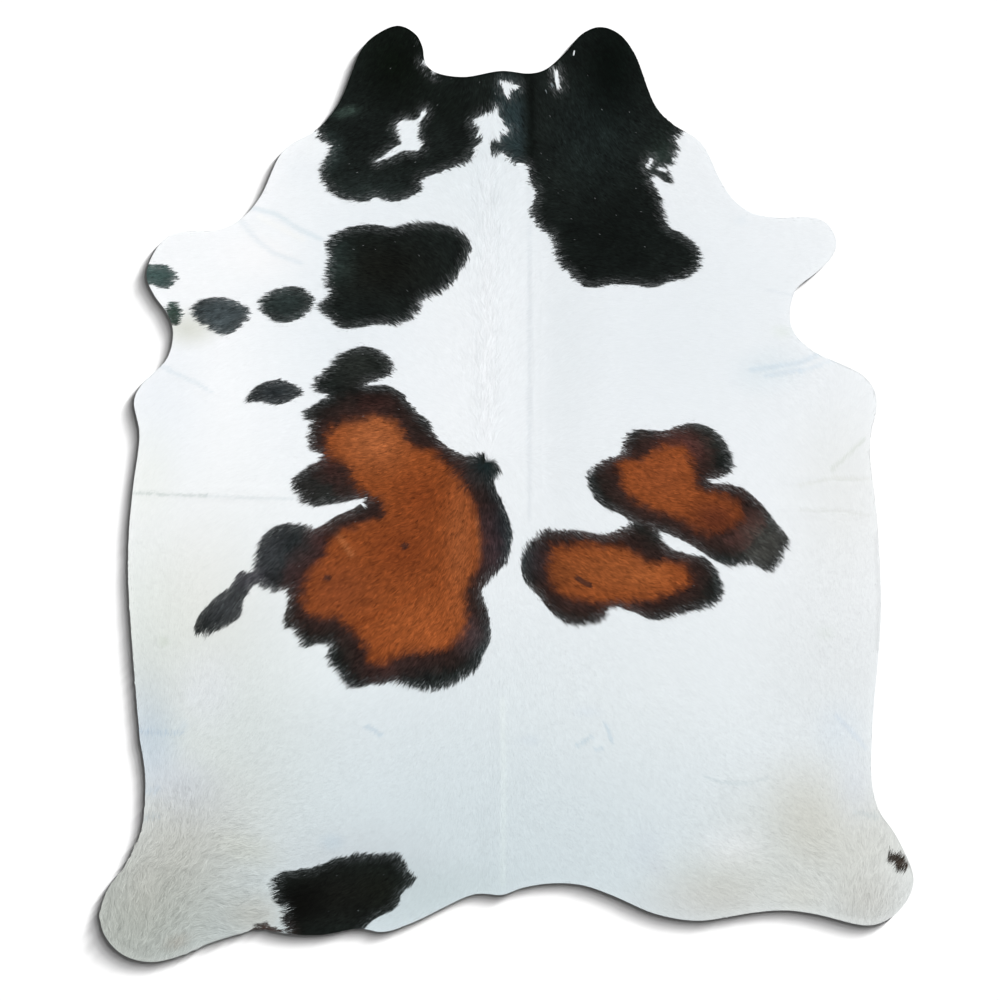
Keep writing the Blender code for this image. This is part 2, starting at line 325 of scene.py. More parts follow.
# Closed outlines of the markings, by the colour that they give the coat.
BLACK_PATCHES = {
    "neck and ears": (
        (-439, 837), (-433, 816), (-408, 792), (-421, 767), (-431, 743), (-421, 707), (-393, 683),
        (-358, 672), (-324, 670), (-303, 680), (-264, 670), (-234, 677), (-200, 697), (-197, 722),
        (-177, 729), (-126, 749), (-85, 768), (-71, 795), (-59, 814), (-66, 828), (-69, 846),
        (-78, 855), (-59, 869), (-39, 869), (-23, 885), (-16, 864), (-7, 844), (7, 835), (-9, 830),
        (-18, 814), (-30, 818), (-39, 809), (-39, 791), (-36, 779), (-16, 782), (3, 772), (26, 754),
        (44, 756), (53, 717), (68, 687), (58, 662), (60, 637), (79, 611), (103, 587), (118, 538),
        (148, 502), (187, 473), (246, 480), (297, 478), (336, 473), (372, 485), (421, 500),
        (444, 522), (449, 545), (431, 577), (407, 598), (372, 617), (361, 657), (352, 692),
        (336, 717), (336, 732), (372, 713), (382, 722), (372, 752), (384, 752), (391, 786),
        (398, 798), (389, 812), (407, 830), (444, 848), (364, 917), (329, 1032), (237, 1101),
        (168, 1090), (122, 1044), (30, 998), (-18, 984), (-85, 998), (-154, 1009), (-246, 1113),
        (-361, 1090), (-407, 952), (-448, 883),
    ),
    "left shoulder patch": (
        (-414, 582), (-381, 607), (-317, 621), (-262, 615), (-197, 626), (-126, 617), (-92, 593),
        (-82, 568), (-96, 533), (-117, 498), (-151, 465), (-197, 443), (-207, 418), (-241, 393),
        (-301, 388), (-381, 379), (-411, 403), (-437, 427), (-411, 463), (-421, 487), (-411, 538),
    ),
    "left shoulder spot, inner": (
        (-572, 438), (-542, 467), (-483, 478), (-453, 457), (-444, 444), (-463, 414), (-503, 393),
        (-542, 398),
    ),
    "left shoulder spot, outer": (
        (-727, 427), (-703, 448), (-657, 453), (-613, 438), (-595, 418), (-613, 384), (-644, 364),
        (-687, 378), (-713, 398),
    ),
    "left foreleg spot, upper": (
        (-844, 533), (-828, 530), (-782, 525), (-762, 500), (-782, 470), (-812, 478), (-844, 483),
    ),
    "left foreleg spot, lower": (
        (-779, 439), (-768, 444), (-752, 427), (-752, 388), (-770, 388), (-784, 404),
    ),
    "left rib spot": (
        (-599, 220), (-577, 247), (-537, 263), (-502, 257), (-472, 234), (-496, 214), (-532, 203),
        (-567, 210), (-592, 210),
    ),
    "left saddle": (
        (-446, 257), (-411, 292), (-386, 322), (-326, 341), (-287, 326), (-264, 301), (-271, 273),
        (-326, 251), (-276, 251), (-241, 232), (-216, 197), (-181, 168), (-156, 126), (-126, 102),
        (-92, 87), (-57, 94), (-12, 53), (-27, 27), (-7, -23), (13, -83), (3, -152), (-42, -203),
        (-57, -223), (-42, -276), (-37, -338), (-53, -371), (-66, -401), (-107, -430), (-156, -451),
        (-216, -447), (-262, -436), (-311, -442), (-361, -447), (-386, -417), (-416, -377),
        (-407, -348), (-467, -350), (-492, -312), (-512, -306), (-507, -258), (-507, -223),
        (-542, -225), (-572, -207), (-586, -217), (-607, -252), (-616, -288), (-646, -306),
        (-692, -325), (-716, -318), (-716, -292), (-676, -242), (-641, -217), (-616, -180),
        (-586, -182), (-582, -152), (-577, -122), (-537, -75), (-487, -70), (-442, -78),
        (-398, -53), (-347, -28), (-327, -13), (-407, -26), (-462, -26), (-492, 12), (-497, 27),
        (-467, 57), (-427, 85), (-453, 103), (-457, 133), (-453, 163), (-472, 182), (-437, 212),
        (-417, 227), (-444, 237),
    ),
    "right loin patch": (
        (37, -138), (83, -88), (152, -85), (223, -92), (272, -79), (300, -58), (340, -66),
        (352, -92), (372, -122), (401, -133), (466, -152), (486, -182), (496, -223), (472, -258),
        (401, -276), (341, -292), (288, -272), (246, -263), (217, -292), (150, -302), (103, -276),
        (73, -237), (37, -198),
    ),
    "right rib patch": (
        (184, 32), (207, 66), (267, 96), (272, 117), (292, 147), (336, 147), (371, 147), (421, 164),
        (472, 151), (502, 122), (521, 66), (511, 47), (466, 27), (536, 17), (587, -23), (621, -67),
        (651, -108), (635, -138), (621, -168), (596, -180), (566, -162), (516, -168), (476, -154),
        (421, -118), (361, -90), (306, -75), (263, -49), (217, -28), (197, -3),
    ),
    "left hind patch": (
        (-539, -908), (-524, -873), (-449, -858), (-384, -835), (-294, -828), (-246, -834),
        (-232, -863), (-211, -893), (-241, -918), (-256, -953), (-301, -978), (-326, -1001),
        (-349, -1038), (-476, -1045), (-512, -998), (-515, -953), (-534, -933),
    ),
    "left hind edge mark": (
        (-586, -1001), (-563, -985), (-540, -994), (-517, -1008), (-517, -1036), (-579, -1036),
    ),
    "right hind edge mark": (
        (874, -831), (883, -824), (909, -838), (929, -857), (924, -865), (907, -867), (887, -852),
    ),
}
WHITE_PATCHES = {
    "left cheek window": (
        (-255, 844), (-241, 858), (-218, 858), (-204, 862), (-195, 878), (-188, 883), (-191, 867),
        (-202, 853), (-204, 835), (-204, 814), (-197, 805), (-202, 791), (-218, 789), (-241, 789),
        (-264, 777), (-283, 770), (-303, 763), (-273, 784), (-255, 798), (-241, 805), (-246, 818),
        (-250, 832),
    ),
    "forehead star": (
        (-16, 950), (-5, 946), (12, 942), (28, 934), (14, 929), (5, 922), (5, 911), (-3, 921),
        (-9, 934),
    ),
}
RUST_PATCHES = {
    "left saddle rust": (
        (-342, 170), (-296, 181), (-255, 163), (-239, 133), (-218, 108), (-177, 101), (-149, 80),
        (-126, 53), (-103, 20), (-82, -14), (-69, -51), (-62, -88), (-59, -125), (-64, -157),
        (-78, -189), (-92, -217), (-101, -244), (-94, -272), (-96, -304), (-108, -329),
        (-135, -350), (-177, -357), (-223, -366), (-255, -375), (-283, -389), (-310, -387),
        (-326, -359), (-340, -332), (-363, -306), (-393, -283), (-430, -283), (-457, -274),
        (-473, -244), (-464, -207), (-455, -180), (-427, -152), (-409, -118), (-407, -102),
        (-381, -85), (-347, -74), (-315, -65), (-287, -46), (-283, -23), (-310, -7), (-335, 11),
        (-354, 39), (-372, 66), (-398, 80), (-414, 103), (-414, 133), (-393, 156), (-365, 168),
    ),
    "right loin rust": (
        (104, -127), (122, -120), (168, -115), (214, -115), (260, -120), (292, -134), (311, -152),
        (341, -159), (380, -157), (407, -164), (419, -180), (417, -203), (398, -221), (361, -233),
        (329, -240), (283, -249), (214, -249), (157, -244), (122, -230), (104, -198), (97, -164),
    ),
    "right rib rust": (
        (258, 71), (279, 78), (306, 80), (334, 99), (361, 110), (389, 115), (412, 101), (426, 73),
        (435, 41), (440, 16), (458, 4), (490, 0), (522, -14), (541, -37), (532, -65), (509, -85),
        (472, -92), (435, -83), (407, -65), (371, -46), (334, -33), (306, -19), (283, 0), (265, 27),
        (256, 50),
    ),
}
PATCHES = {"black": BLACK_PATCHES, "white": WHITE_PATCHES, "rust": RUST_PATCHES}

# Narrow marks: start, end and half width. Those on rust are black spots in it.
STROKES = {
    "white": {
        "forehead sliver": ((114, 970), (119, 934), 3.6),
        "left ear notch, upper": ((-191, 992), (-187, 986), 2.8),
        "left ear notch, lower": ((-170, 970), (-166, 966), 2.4),
        "right cheek hole": ((333, 768), (326, 752), 3.4),
        "right cheek hole, outer": ((351, 747), (365, 743), 3),
    },
    "rust spot": {
        "saddle finger": ((-380, -14), (-290, -48), 9),
        "saddle dot, right": ((-237, -119), (-234, -121), 7),
        "saddle dot, left": ((-416, -193), (-411, -195), 8),
        "loin slit": ((162, -194), (192, -211), 6),
    },
}

# Soft tints over each colour of coat, in rows for each part of the hide: centre across and
# along, reach across and along, turn, and what red, green and blue are multiplied by there. They
# are the coat's own stains and tones, and also painted light: on the white, painted shade and
# painted highlights; on the black and the rust, painted sheen.
WHITE_TINTS_AND_PAINTED_LIGHT = {
    # Partly the coat's own discolouring, and partly painted light: the white darkens towards the
    # rear and the right, with painted shade to the right of the middle crease.
    "large parts": (
        (-100, -1000, 1900, 1300, 0, 0.665, 0.738, 0.758),
        (350, 390, 900, 900, 0, 0.875, 0.9, 0.915), (130, 320, 125, 600, 0, 0.95, 0.955, 0.955),
        (-384, 400, 330, 620, 0, 0.905, 0.93, 0.945), (-120, 800, 420, 420, 0, 0.89, 0.92, 0.93),
    ),
    # The first row is a yellow stain, and the last row a painted highlight.
    "left shoulder and foreleg": (
        (-733, 381, 100, 64, 0, 0.8, 0.8, 0.73), (-476, 740, 69, 74, 0, 0.975, 0.982, 0.988),
        (-798, 216, 172, 288, 0, 0.94, 0.955, 0.97), (-563, 549, 143, 97, 0, 1.04, 1.02, 1.01),
    ),
    "left flank": (
        (-700, -500, 430, 720, 0, 0.9, 0.9, 0.86), (-850, -300, 200, 420, 0, 0.95, 0.96, 0.93),
        (-832, 55, 115, 166, 0, 0.975, 0.978, 0.945), (-694, -244, 172, 253, 0, 1, 0.985, 0.965),
        (-789, -341, 21, 18, 0, 0.91, 0.93, 0.89), (-726, -465, 23, 28, 0, 1.02, 1.02, 1.03),
        (-430, -410, 230, 170, 0, 1.045, 1.045, 1.045),
    ),
    "left thigh": (
        (-840, -560, 110, 200, 0, 0.93, 0.97, 1.03), (-791, -562, 78, 101, 0, 0.95, 0.975, 1),
        (-743, -534, 18, 23, 0, 0.93, 0.955, 0.99), (-832, -520, 120, 264, 0, 0.915, 0.915, 0.935),
        (-694, -451, 120, 143, 0, 1.03, 1.02, 1.06), (-717, -704, 143, 106, 0, 0.935, 0.94, 0.975),
        (-760, -650, 130, 100, 0, 0.985, 0.99, 1.035),
    ),
    "left hind leg": (
        (-870, -1000, 470, 350, 0, 0.64, 0.63, 0.57), (-740, -800, 330, 240, 30, 0.95, 0.9, 0.86),
        (-402, -801, 44, 32, 0, 0.93, 0.965, 1.0), (-832, -925, 60, 110, 0, 1.08, 1.07, 1.07),
        (-759, -1030, 48, 26, 15, 0.93, 0.87, 0.84), (-591, -819, 115, 60, -15, 1, 0.99, 0.95),
        (-361, -847, 334, 143, 0, 0.925, 0.91, 0.915), (-579, -969, 106, 83, 0, 0.9, 0.85, 0.8),
    ),
    # The first row is painted shade in the right armpit.
    "right shoulder and foreleg": (
        (600, 285, 130, 80, 10, 0.93, 0.96, 0.97), (633, 372, 37, 25, 0, 0.95, 0.965, 0.93),
        (541, 628, 23, 18, 0, 0.965, 0.98, 0.99), (789, 330, 65, 55, 0, 0.93, 0.955, 0.965),
    ),
    "right flank": (
        (770, 20, 190, 300, 0, 0.945, 0.94, 0.92), (734, -322, 32, 23, 0, 0.94, 0.955, 0.93),
        (755, -371, 276, 437, 0, 0.93, 0.93, 0.925),
    ),
    "rump and tail": (
        (300, -520, 430, 260, 0, 1.02, 1.015, 1.01), (184, -502, 51, 21, 0, 0.97, 0.98, 1),
        (53, -568, 41, 21, 0, 0.97, 0.98, 1), (210, -568, 21, 18, 0, 1.03, 1.03, 1.03),
        (-177, -916, 264, 110, 0, 0.925, 0.94, 0.93),
    ),
    "right thigh": (
        (762, -548, 87, 110, 0, 0.955, 0.975, 1), (800, -680, 75, 120, 0, 0.98, 0.99, 1.03),
    ),
    "right hind leg": (
        (760, -820, 430, 290, 0, 0.87, 0.835, 0.77), (480, -900, 220, 130, 0, 0.935, 0.905, 0.855),
        (318, -819, 64, 92, 0, 0.97, 0.97, 0.985), (348, -861, 32, 41, 0, 0.965, 0.955, 0.965),
        (680, -722, 125, 175, 10, 0.94, 0.92, 0.88), (444, -950, 258, 106, 0, 0.96, 0.925, 0.905),
        (674, -930, 90, 70, 0, 0.98, 0.96, 0.93), (826, -948, 143, 106, 0, 0.875, 0.855, 0.83),
        (518, -815, 115, 83, 0, 1.11, 1.09, 1.1),
    ),
}
# Rows that lighten the black towards bluish grey are painted sheen: on the forehead, the left
# cheek, the right neck, the left spots, the saddle's lobes and the right rib patch. Rows that
# darken or redden it are the black's own tone.
BLACK_TINTS_AND_PAINTED_SHEEN = {
    "left ear and neck": (
        (-257, 990, 150, 190, 0, 0.17, 0.31, 0.14), (-130, 895, 130, 100, 0, 0.55, 0.62, 0.55),
        (-315, 690, 150, 65, 0, 1.9, 1.9, 2.0), (-370, 878, 48, 19, 15, 4.3, 4.7, 4.5),
        (-410, 785, 50, 70, 0, 3.0, 3.2, 3.4),
    ),
    "right ear and neck": (
        (240, 985, 130, 210, 0, 0.1, 0.24, 0.17), (5, 850, 55, 170, 0, 3.0, 3.6, 4.4),
        (205, 830, 150, 190, 0, 1.3, 1.42, 1.52), (360, 780, 60, 80, 0, 2.4, 2.6, 2.5),
        (245, 590, 220, 190, 0, 0.42, 0.46, 0.44),
    ),
    "left shoulder and its spots": (
        (-290, 520, 200, 120, 0, 0.78, 0.64, 0.53), (-384, 533, 60, 80, 0, 2.7, 3.1, 3.4),
        (-660, 410, 110, 90, 0, 9.0, 8.0, 9.8), (-810, 500, 110, 90, 0, 8.1, 9.5, 10.2),
        (-767, 415, 50, 50, 0, 4.0, 5.0, 4.5), (-510, 436, 110, 90, 0, 3.4, 3.4, 3.7),
        (-530, 232, 120, 80, 0, 3.4, 2.9, 3.6),
    ),
    "saddle": (
        (-345, 295, 130, 80, 0, 2.3, 1.9, 1.9), (-315, 225, 120, 60, 0, 1.1, 0.78, 0.78),
        (-545, -130, 170, 120, 0, 4.4, 3.4, 4.2), (-645, -248, 150, 120, 0, 5.5, 4.2, 5.1),
        (-472, -150, 65, 90, 0, 0.58, 0.75, 0.72), (-460, 20, 110, 90, 0, 2.8, 1.9, 2.0),
        (-20, -110, 70, 170, 0, 1.6, 1.7, 2.3), (-70, -335, 75, 75, 0, 2.2, 2.6, 3.2),
        (-60, 50, 60, 70, 0, 1.1, 1.6, 1.9), (-230, -420, 260, 60, 0, 1.4, 1.3, 1.4),
    ),
    "right loin and ribs": (
        (62, -152, 60, 70, 0, 1.5, 1.9, 2.4), (590, -110, 105, 95, 35, 7.8, 5.4, 5.6),
        (549, -76, 75, 70, 35, 0.6, 0.82, 0.8), (430, 120, 130, 70, 0, 3.0, 2.2, 2.2),
    ),
    "hind patch and edge marks": (
        (-390, -920, 180, 120, 0, 0.78, 0.62, 0.54), (-480, -945, 110, 110, 0, 0.28, 0.23, 0.18),
        (-290, -910, 90, 90, 0, 0.9, 0.85, 0.7), (-550, -1010, 90, 60, 0, 6.0, 2.0, 1.8),
        (905, -848, 60, 60, 0, 5.0, 2.2, 1.6),
    ),
}
RUST_TINTS_AND_PAINTED_SHEEN = {
    # The rust's own tone, with painted sheen along its right edge in the last saddle row.
    "saddle": (
        (-310, 130, 130, 120, 0, 1.45, 1.75, 2.3), (-240, -130, 140, 120, 0, 0.78, 0.71, 0.7),
        (-200, -10, 110, 95, 0, 0.86, 0.78, 0.74), (-390, -220, 140, 110, 0, 0.88, 0.9, 1.1),
        (-190, -310, 170, 110, 0, 1.34, 1.39, 1.44), (-105, -120, 60, 260, 0, 1.15, 1.3, 1.6),
    ),
    "right loin": (
        (240, -175, 210, 100, 0, 1.12, 1.26, 1.4), (118, -185, 75, 85, 0, 0.72, 0.76, 0.82),
        (335, -195, 90, 70, 0, 1.17, 1.23, 1.27),
    ),
    "right ribs": (
        (360, 40, 130, 110, 0, 1.06, 1.1, 1.3), (480, -60, 110, 80, 0, 0.46, 0.47, 0.78),
    ),
}
TINTS_AND_PAINTED_LIGHT = {"white": WHITE_TINTS_AND_PAINTED_LIGHT, "black": BLACK_TINTS_AND_PAINTED_SHEEN, "rust": RUST_TINTS_AND_PAINTED_SHEEN}

# Lines on each colour of coat: the points of the line, half of its width, and what the colour is
# multiplied by along its middle. Most are painted shade in creases, folds and wrinkles and painted
# highlights on their ridges; the others are small dark marks, a pale scratch and a darker streak.
WHITE_PAINTED_CREASE_LIGHT_AND_MARKS = {
    # Painted shade in two folds, and a painted highlight between them.
    "left shoulder folds": (
        (((-586, 657), (-533, 644), (-480, 609), (-430, 586)), 10, (0.88, 0.92, 0.936)),
        (((-611, 625), (-577, 584), (-540, 554), (-476, 531)), 10, (0.912, 0.936, 0.952)),
        (((-570, 637), (-522, 611), (-471, 584)), 12, (1.03, 1.02, 1)),
    ),
    # Painted shade in the armpit and flank creases.
    "left armpit and flank creases": (
        (((-798, 294), (-756, 273), (-715, 255), (-683, 234)), 8, (0.888, 0.92, 0.936)),
        (((-864, 2), (-786, -3), (-694, -5)), 6, (0.77, 0.8, 0.79)),
        (((-694, -5), (-591, -10), (-494, -12)), 6, (0.895, 0.915, 0.92)),
    ),
    # Painted shade in the wrinkles of the right armpit.
    "right armpit wrinkles": (
        (((564, 285), (617, 292), (674, 301), (725, 324)), 12, (0.888, 0.928, 0.96)),
        (((596, 271), (628, 276), (674, 285)), 9, (0.888, 0.92, 0.952)),
        (((674, 280), (716, 294), (752, 308)), 9, (0.92, 0.952, 0.976)),
        (((601, 469), (674, 453)), 7, (0.952, 0.96, 0.968)),
    ),
    # Painted shade along the creases of the right flank and a fold at its edge.
    "right flank lines": (
        (((748, 55), (785, 89), (821, 124)), 8, (0.888, 0.904, 0.872)),
        (((674, 18), (755, 36), (831, 32)), 7, (0.944, 0.944, 0.92)),
        (((674, -39), (755, -39), (835, -51)), 6, (0.928, 0.928, 0.912)),
        (((849, -95), (849, -152), (856, -244), (849, -359)), 9, (0.904, 0.904, 0.904)),
    ),
    # Painted shade beside the middle crease and the rump ridge, and a painted highlight on the
    # ridge.
    "middle crease and rump ridge": (
        (((52, 618), (52, -60)), 6, (0.928, 0.936, 0.944)),
        (((-9, -474), (-7, -681), (-9, -900)), 12, (1.05, 1.05, 1.03)),
        (((-53, -727), (-53, -900)), 23, (0.976, 0.976, 0.976)),
    ),
    # Small dark marks, and in the last row painted shade along the rump's smile line.
    "rump marks and painted crease shade": (
        (((-324, -536), (-306, -543), (-292, -555)), 8, (0.81, 0.87, 0.92)),
        (((161, -580), (180, -568), (196, -559)), 7, (0.81, 0.865, 0.9)),
        (((226, -529), (235, -548), (242, -571)), 7, (0.83, 0.885, 0.93)),
        (((205, -588), (221, -583)), 6, (0.84, 0.89, 0.93)),
        (((453, -649), (490, -663), (527, -667), (564, -665), (601, -651)),
         6, (0.88, 0.904, 0.912)),
    ),
    # Darker lines on the thighs; the one at the right hock is painted shade in its crease.
    "thigh lines": (
        (((-844, -545), (-798, -550), (-747, -550)), 6, (0.83, 0.88, 0.94)),
        (((-830, -686), (-798, -681)), 7, (0.84, 0.89, 0.94)),
        (((-830, -746), (-798, -741)), 7, (0.83, 0.88, 0.93)),
        (((757, -511), (789, -543), (826, -585)), 9, (0.92, 0.944, 0.976)),
        (((801, -732), (858, -746)), 8, (0.888, 0.92, 0.936)),
    ),
    # A painted highlight along the feather ridge.
    "feather ridge": ((FEATHER, 26, (1.017, 1.012, 1.012)),),
}
BLACK_PAINTED_CREASE_LIGHT = {
    # Painted shade and a painted highlight on the two sides of the middle crease.
    "middle crease": (
        (((56, 961), (58, 837), (56, 699)), 16, (0.4, 0.45, 0.42)),
        (((28, 892), (30, 768)), 18, (1.25, 1.25, 1.3)),
    ),
}
RUST_SCRATCH_STREAK_AND_PAINTED_SHEEN = {
    # A pale scratch and a darker streak, and in the last row painted sheen along the rust's right
    # edge.
    "saddle scratch and streaks": (
        (((-402, -76), (-381, -105), (-358, -140)), 12, (1.28, 1.6, 2.1)),
        (((-351, -304), (-262, -262), (-165, -207)), 15, (0.88, 0.84, 0.8)),
        (((-69, -56), (-64, -106), (-62, -152)), 9, (1.15, 1.35, 1.7)),
    ),
}
LINES_OF_MARKS_AND_PAINTED_LIGHT = {"white": WHITE_PAINTED_CREASE_LIGHT_AND_MARKS, "black": BLACK_PAINTED_CREASE_LIGHT, "rust": RUST_SCRATCH_STREAK_AND_PAINTED_SHEEN}

# Strands that stand out: part, colour, and rows of root, tip, how many and how far they spread.
TUFTS = (
    ("flame", "white", (
        (-27, 862, -23, 887, 9, 2.8), (-39, 862, -39, 876, 8, 3.2), (-20, 867, -7, 848, 8, 2.3),
        (-16, 851, 5, 832, 9, 2.3), (-18, 841, 0, 823, 8, 2.5), (-25, 837, -16, 809, 9, 2.8),
        (-34, 835, -32, 809, 7, 2.8), (-50, 867, -73, 853, 12, 3.0), (-57, 839, -69, 818, 8, 3.0),
        (-57, 802, -76, 789, 9, 3.0), (-66, 789, -80, 772, 8, 3.4), (-13, 777, 5, 770, 8, 2.8),
        (19, 759, 44, 756, 9, 2.8),
    )),
    ("star", "white", (
        (-7, 936, 5, 908, 10, 2.3), (0, 933, 7, 917, 7, 2.3), (10, 938, 28, 933, 8, 2.1),
    )),
    ("left of the star", "pale", ((-20, 952, -20, 936, 3, 1.4),)),
    ("sliver", "white", ((113, 968, 118, 929, 10, 2.1),)),
    ("beside the sliver", "pale", ((102, 945, 106, 933, 5, 2.1), (88, 931, 92, 920, 3, 1.6))),
    ("right ear", "white", ((155, 1020, 153, 1008, 6, 1.2),)),
    ("saddle notch", "white", ((-340, -18, -323, -31, 6, 2.0),)),
    ("saddle, top point", "black", ((-55, 66, -55, 96, 9, 2.6),)),
)
TUFT_COLOURS = {
    "white": (0.80, 0.84, 0.86), "pale": (0.16, 0.19, 0.20), "black": (0.008, 0.011, 0.010),
}
TUFT_WIDTHS = (1.0, 2.0)
TUFT_LIFTS = (2.2, 3.4)
TUFT_BOW = 0.05
TUFT_ROOT_SPREAD = 0.6
TUFT_UNEVEN = 0.06
TUFT_OWN_NORMAL = 0.3

# The coat's pieces, each small enough for one mesh: name, across range and along range.
COAT_PIECES = (
    ("coat_neck", (-1100, 1100), (420, 1200)),
    ("coat_left_back", (-1100, -20), (-170, 420)),
    ("coat_right_back", (-20, 1100), (-170, 420)),
    ("coat_left_rump", (-1100, -20), (-650, -170)),
    ("coat_right_rump", (-20, 1100), (-650, -170)),
    ("coat_left_hind", (-1100, -380), (-1200, -650)),
    ("coat_tail", (-380, 250), (-1200, -650)),
    ("coat_right_hind", (250, 1100), (-1200, -650)),
)
MOST_TRIANGLES = 199_500

# Colours of the coat, linear.
WHITE = np.array((0.872, 0.888, 0.902))
BLACK = np.array((0.0070, 0.0100, 0.0088))
RUST = np.array((0.235, 0.058, 0.0142))

# The hair's material: its fine grain, ranges of the tone that this gives and of the tone from
# root to tip, and the spread of its roughness.
GRAIN = (0.3, 0.7)
GRAIN_NOISE = {"Scale": 3.0, "Detail": 2.0}
GRAIN_TONE = (0.985, 1.015)
ALONG_TONE = (0.992, 1.006)
ROUGHNESS = {"coat roots": 0.7, "coat": 0.55}
ROUGHNESS_SPREAD = 0.06
HAIR_SPECULAR = 0.03

# Bare leather: name, light and deep colour, and scale of the mottle; then its mottle and nap.
LEATHERS = (
    ("flesh side", (0.70, 0.69, 0.66, 1.0), (0.58, 0.58, 0.57, 1.0), 9),
    ("cut edge", (0.60, 0.60, 0.58, 1.0), (0.45, 0.45, 0.44, 1.0), 30),
)
CLOUD = (0.35, 0.65)
CLOUD_DETAIL = 6.0
NAP_DETAIL = 3.0
NAP_SCALE = 60
NAP_ROUGHNESS = (0.85, 0.97)
NAP_DEPTH = 0.3 * MM
NAP_STRENGTH = 0.5
LEATHER_SPECULAR = 0.2

# Steps of the noise, of the curves and of the triangulation, and most distances worked out at once.
LATTICE = 512
CURVE_STEPS = 16
INSIDE_ONLY = 1
MERGE_DISTANCE = 1e-7
CHUNK = 8_000_000


def smooth_step(x):
    """0 below 0, 1 above 1, and an even slope change between."""
    x = np.clip(x, 0.0, 1.0)
    return x * x * (3.0 - 2.0 * x)


def unit(vectors):
    """The vectors at length 1."""
    return vectors / np.maximum(np.linalg.norm(vectors, axis=1, keepdims=True), TINY)


def turned(ways, angles):
    """The flat directions, turned to the left by the angles."""
    x, y = ways.T
    cos, sin = np.cos(angles), np.sin(angles)
    return np.column_stack((x * cos - y * sin, x * sin + y * cos))


def metres(values):
    """A place, a line or an outline from the tables, in metres."""
    return np.array(values) * MM


def rows_of(groups):
    """All rows of a table that has them in groups."""
    return [row for rows in groups.values() for row in rows]


def mixed(t, first, last, start, end):
    """From start, where t is first, to end, where t is last."""
    return (last - t) / (last - first) * start + (t - first) / (last - first) * end


def read_cells(grid, x0, x1, y0, y1, across, along):
    """The grid's values at places that lie some share across and along its cells."""
    near = grid[x0, y0] * (1 - across) + grid[x1, y0] * across
    far = grid[x0, y1] * (1 - across) + grid[x1, y1] * across
    return near * (1 - along) + far * along


def smooth_noise(places, size, seed):
    """Random values from -1 to 1 that change evenly over the given size."""
    lattice = np.random.default_rng(seed).uniform(-1.0, 1.0, (LATTICE, LATTICE))
    cell = np.floor(places / size).astype(int)
    share = smooth_step(places / size - cell)
    x0, y0 = (cell % LATTICE).T
    return read_cells(lattice, x0, (x0 + 1) % LATTICE, y0, (y0 + 1) % LATTICE, *share.T)


def closed_curve(points, spacing):
    """Points at an even spacing along a smooth closed curve through the given ones."""
    fine = []
    for before, start, end, after in zip(
        np.roll(points, 1, 0), points, np.roll(points, -1, 0), np.roll(points, -2, 0)
    ):
        knots = [0.0]
        for first, second in ((before, start), (start, end), (end, after)):
            knots.append(knots[-1] + math.sqrt(np.linalg.norm(second - first)))
        t0, t1, t2, t3 = knots
        t = np.linspace(t1, t2, CURVE_STEPS, endpoint=False)[:, None]
        middle = mixed(t, t1, t2, start, end)
        early = mixed(t, t0, t2, mixed(t, t0, t1, before, start), middle)
        late = mixed(t, t1, t3, middle, mixed(t, t2, t3, end, after))
        fine.append(mixed(t, t1, t2, early, late))
    fine = np.vstack(fine)
    ring = np.vstack((fine, fine[:1]))
    travelled = np.concatenate(([0.0], np.cumsum(np.linalg.norm(np.diff(ring, axis=0), axis=1))))
    wanted = np.linspace(0.0, travelled[-1], round(travelled[-1] / spacing), endpoint=False)
    return np.column_stack([np.interp(wanted, travelled, ring[:, axis]) for axis in (0, 1)])


def distance_in_ring(places, ring, reach):
    """Distance to the closed ring, above 0 inside it; places past the reach get minus FAR."""
    result = np.full(len(places), -FAR)
    low, high = ring.min(axis=0) - reach, ring.max(axis=0) + reach
    near = np.flatnonzero(((places > low) & (places < high)).all(axis=1))
    start, way = ring, np.roll(ring, -1, 0) - ring
    square = (way**2).sum(axis=1)
    for part in np.array_split(near, max(1, len(near) * len(ring) // CHUNK + 1)):
        x, y = places[part, :1], places[part, 1:]
        along = ((x - start[:, 0]) * way[:, 0] + (y - start[:, 1]) * way[:, 1]) / square
        along = np.clip(along, 0.0, 1.0)
        apart = (x - start[:, 0] - along * way[:, 0]) ** 2
        apart += (y - start[:, 1] - along * way[:, 1]) ** 2
        spans = (start[:, 1] > y) != (start[:, 1] + way[:, 1] > y)
        rise = np.where(way[:, 1] == 0.0, 1.0, way[:, 1])
        crosses = x < way[:, 0] * (y - start[:, 1]) / rise + start[:, 0]
        is_inside = (spans & crosses).sum(axis=1) % 2 == 1
        result[part] = np.where(is_inside, 1.0, -1.0) * np.sqrt(apart.min(axis=1))
    return result


def line_distance(places, start, end):
    """Distance of each place from a straight line, how far along it lies, and its length."""
    way = end - start
    length = np.linalg.norm(way)
    along = np.clip((places - start) @ (way / length), 0.0, length)
    nearest = start + along[:, None] * (way / length)
    return np.linalg.norm(places - nearest, axis=1), along, length


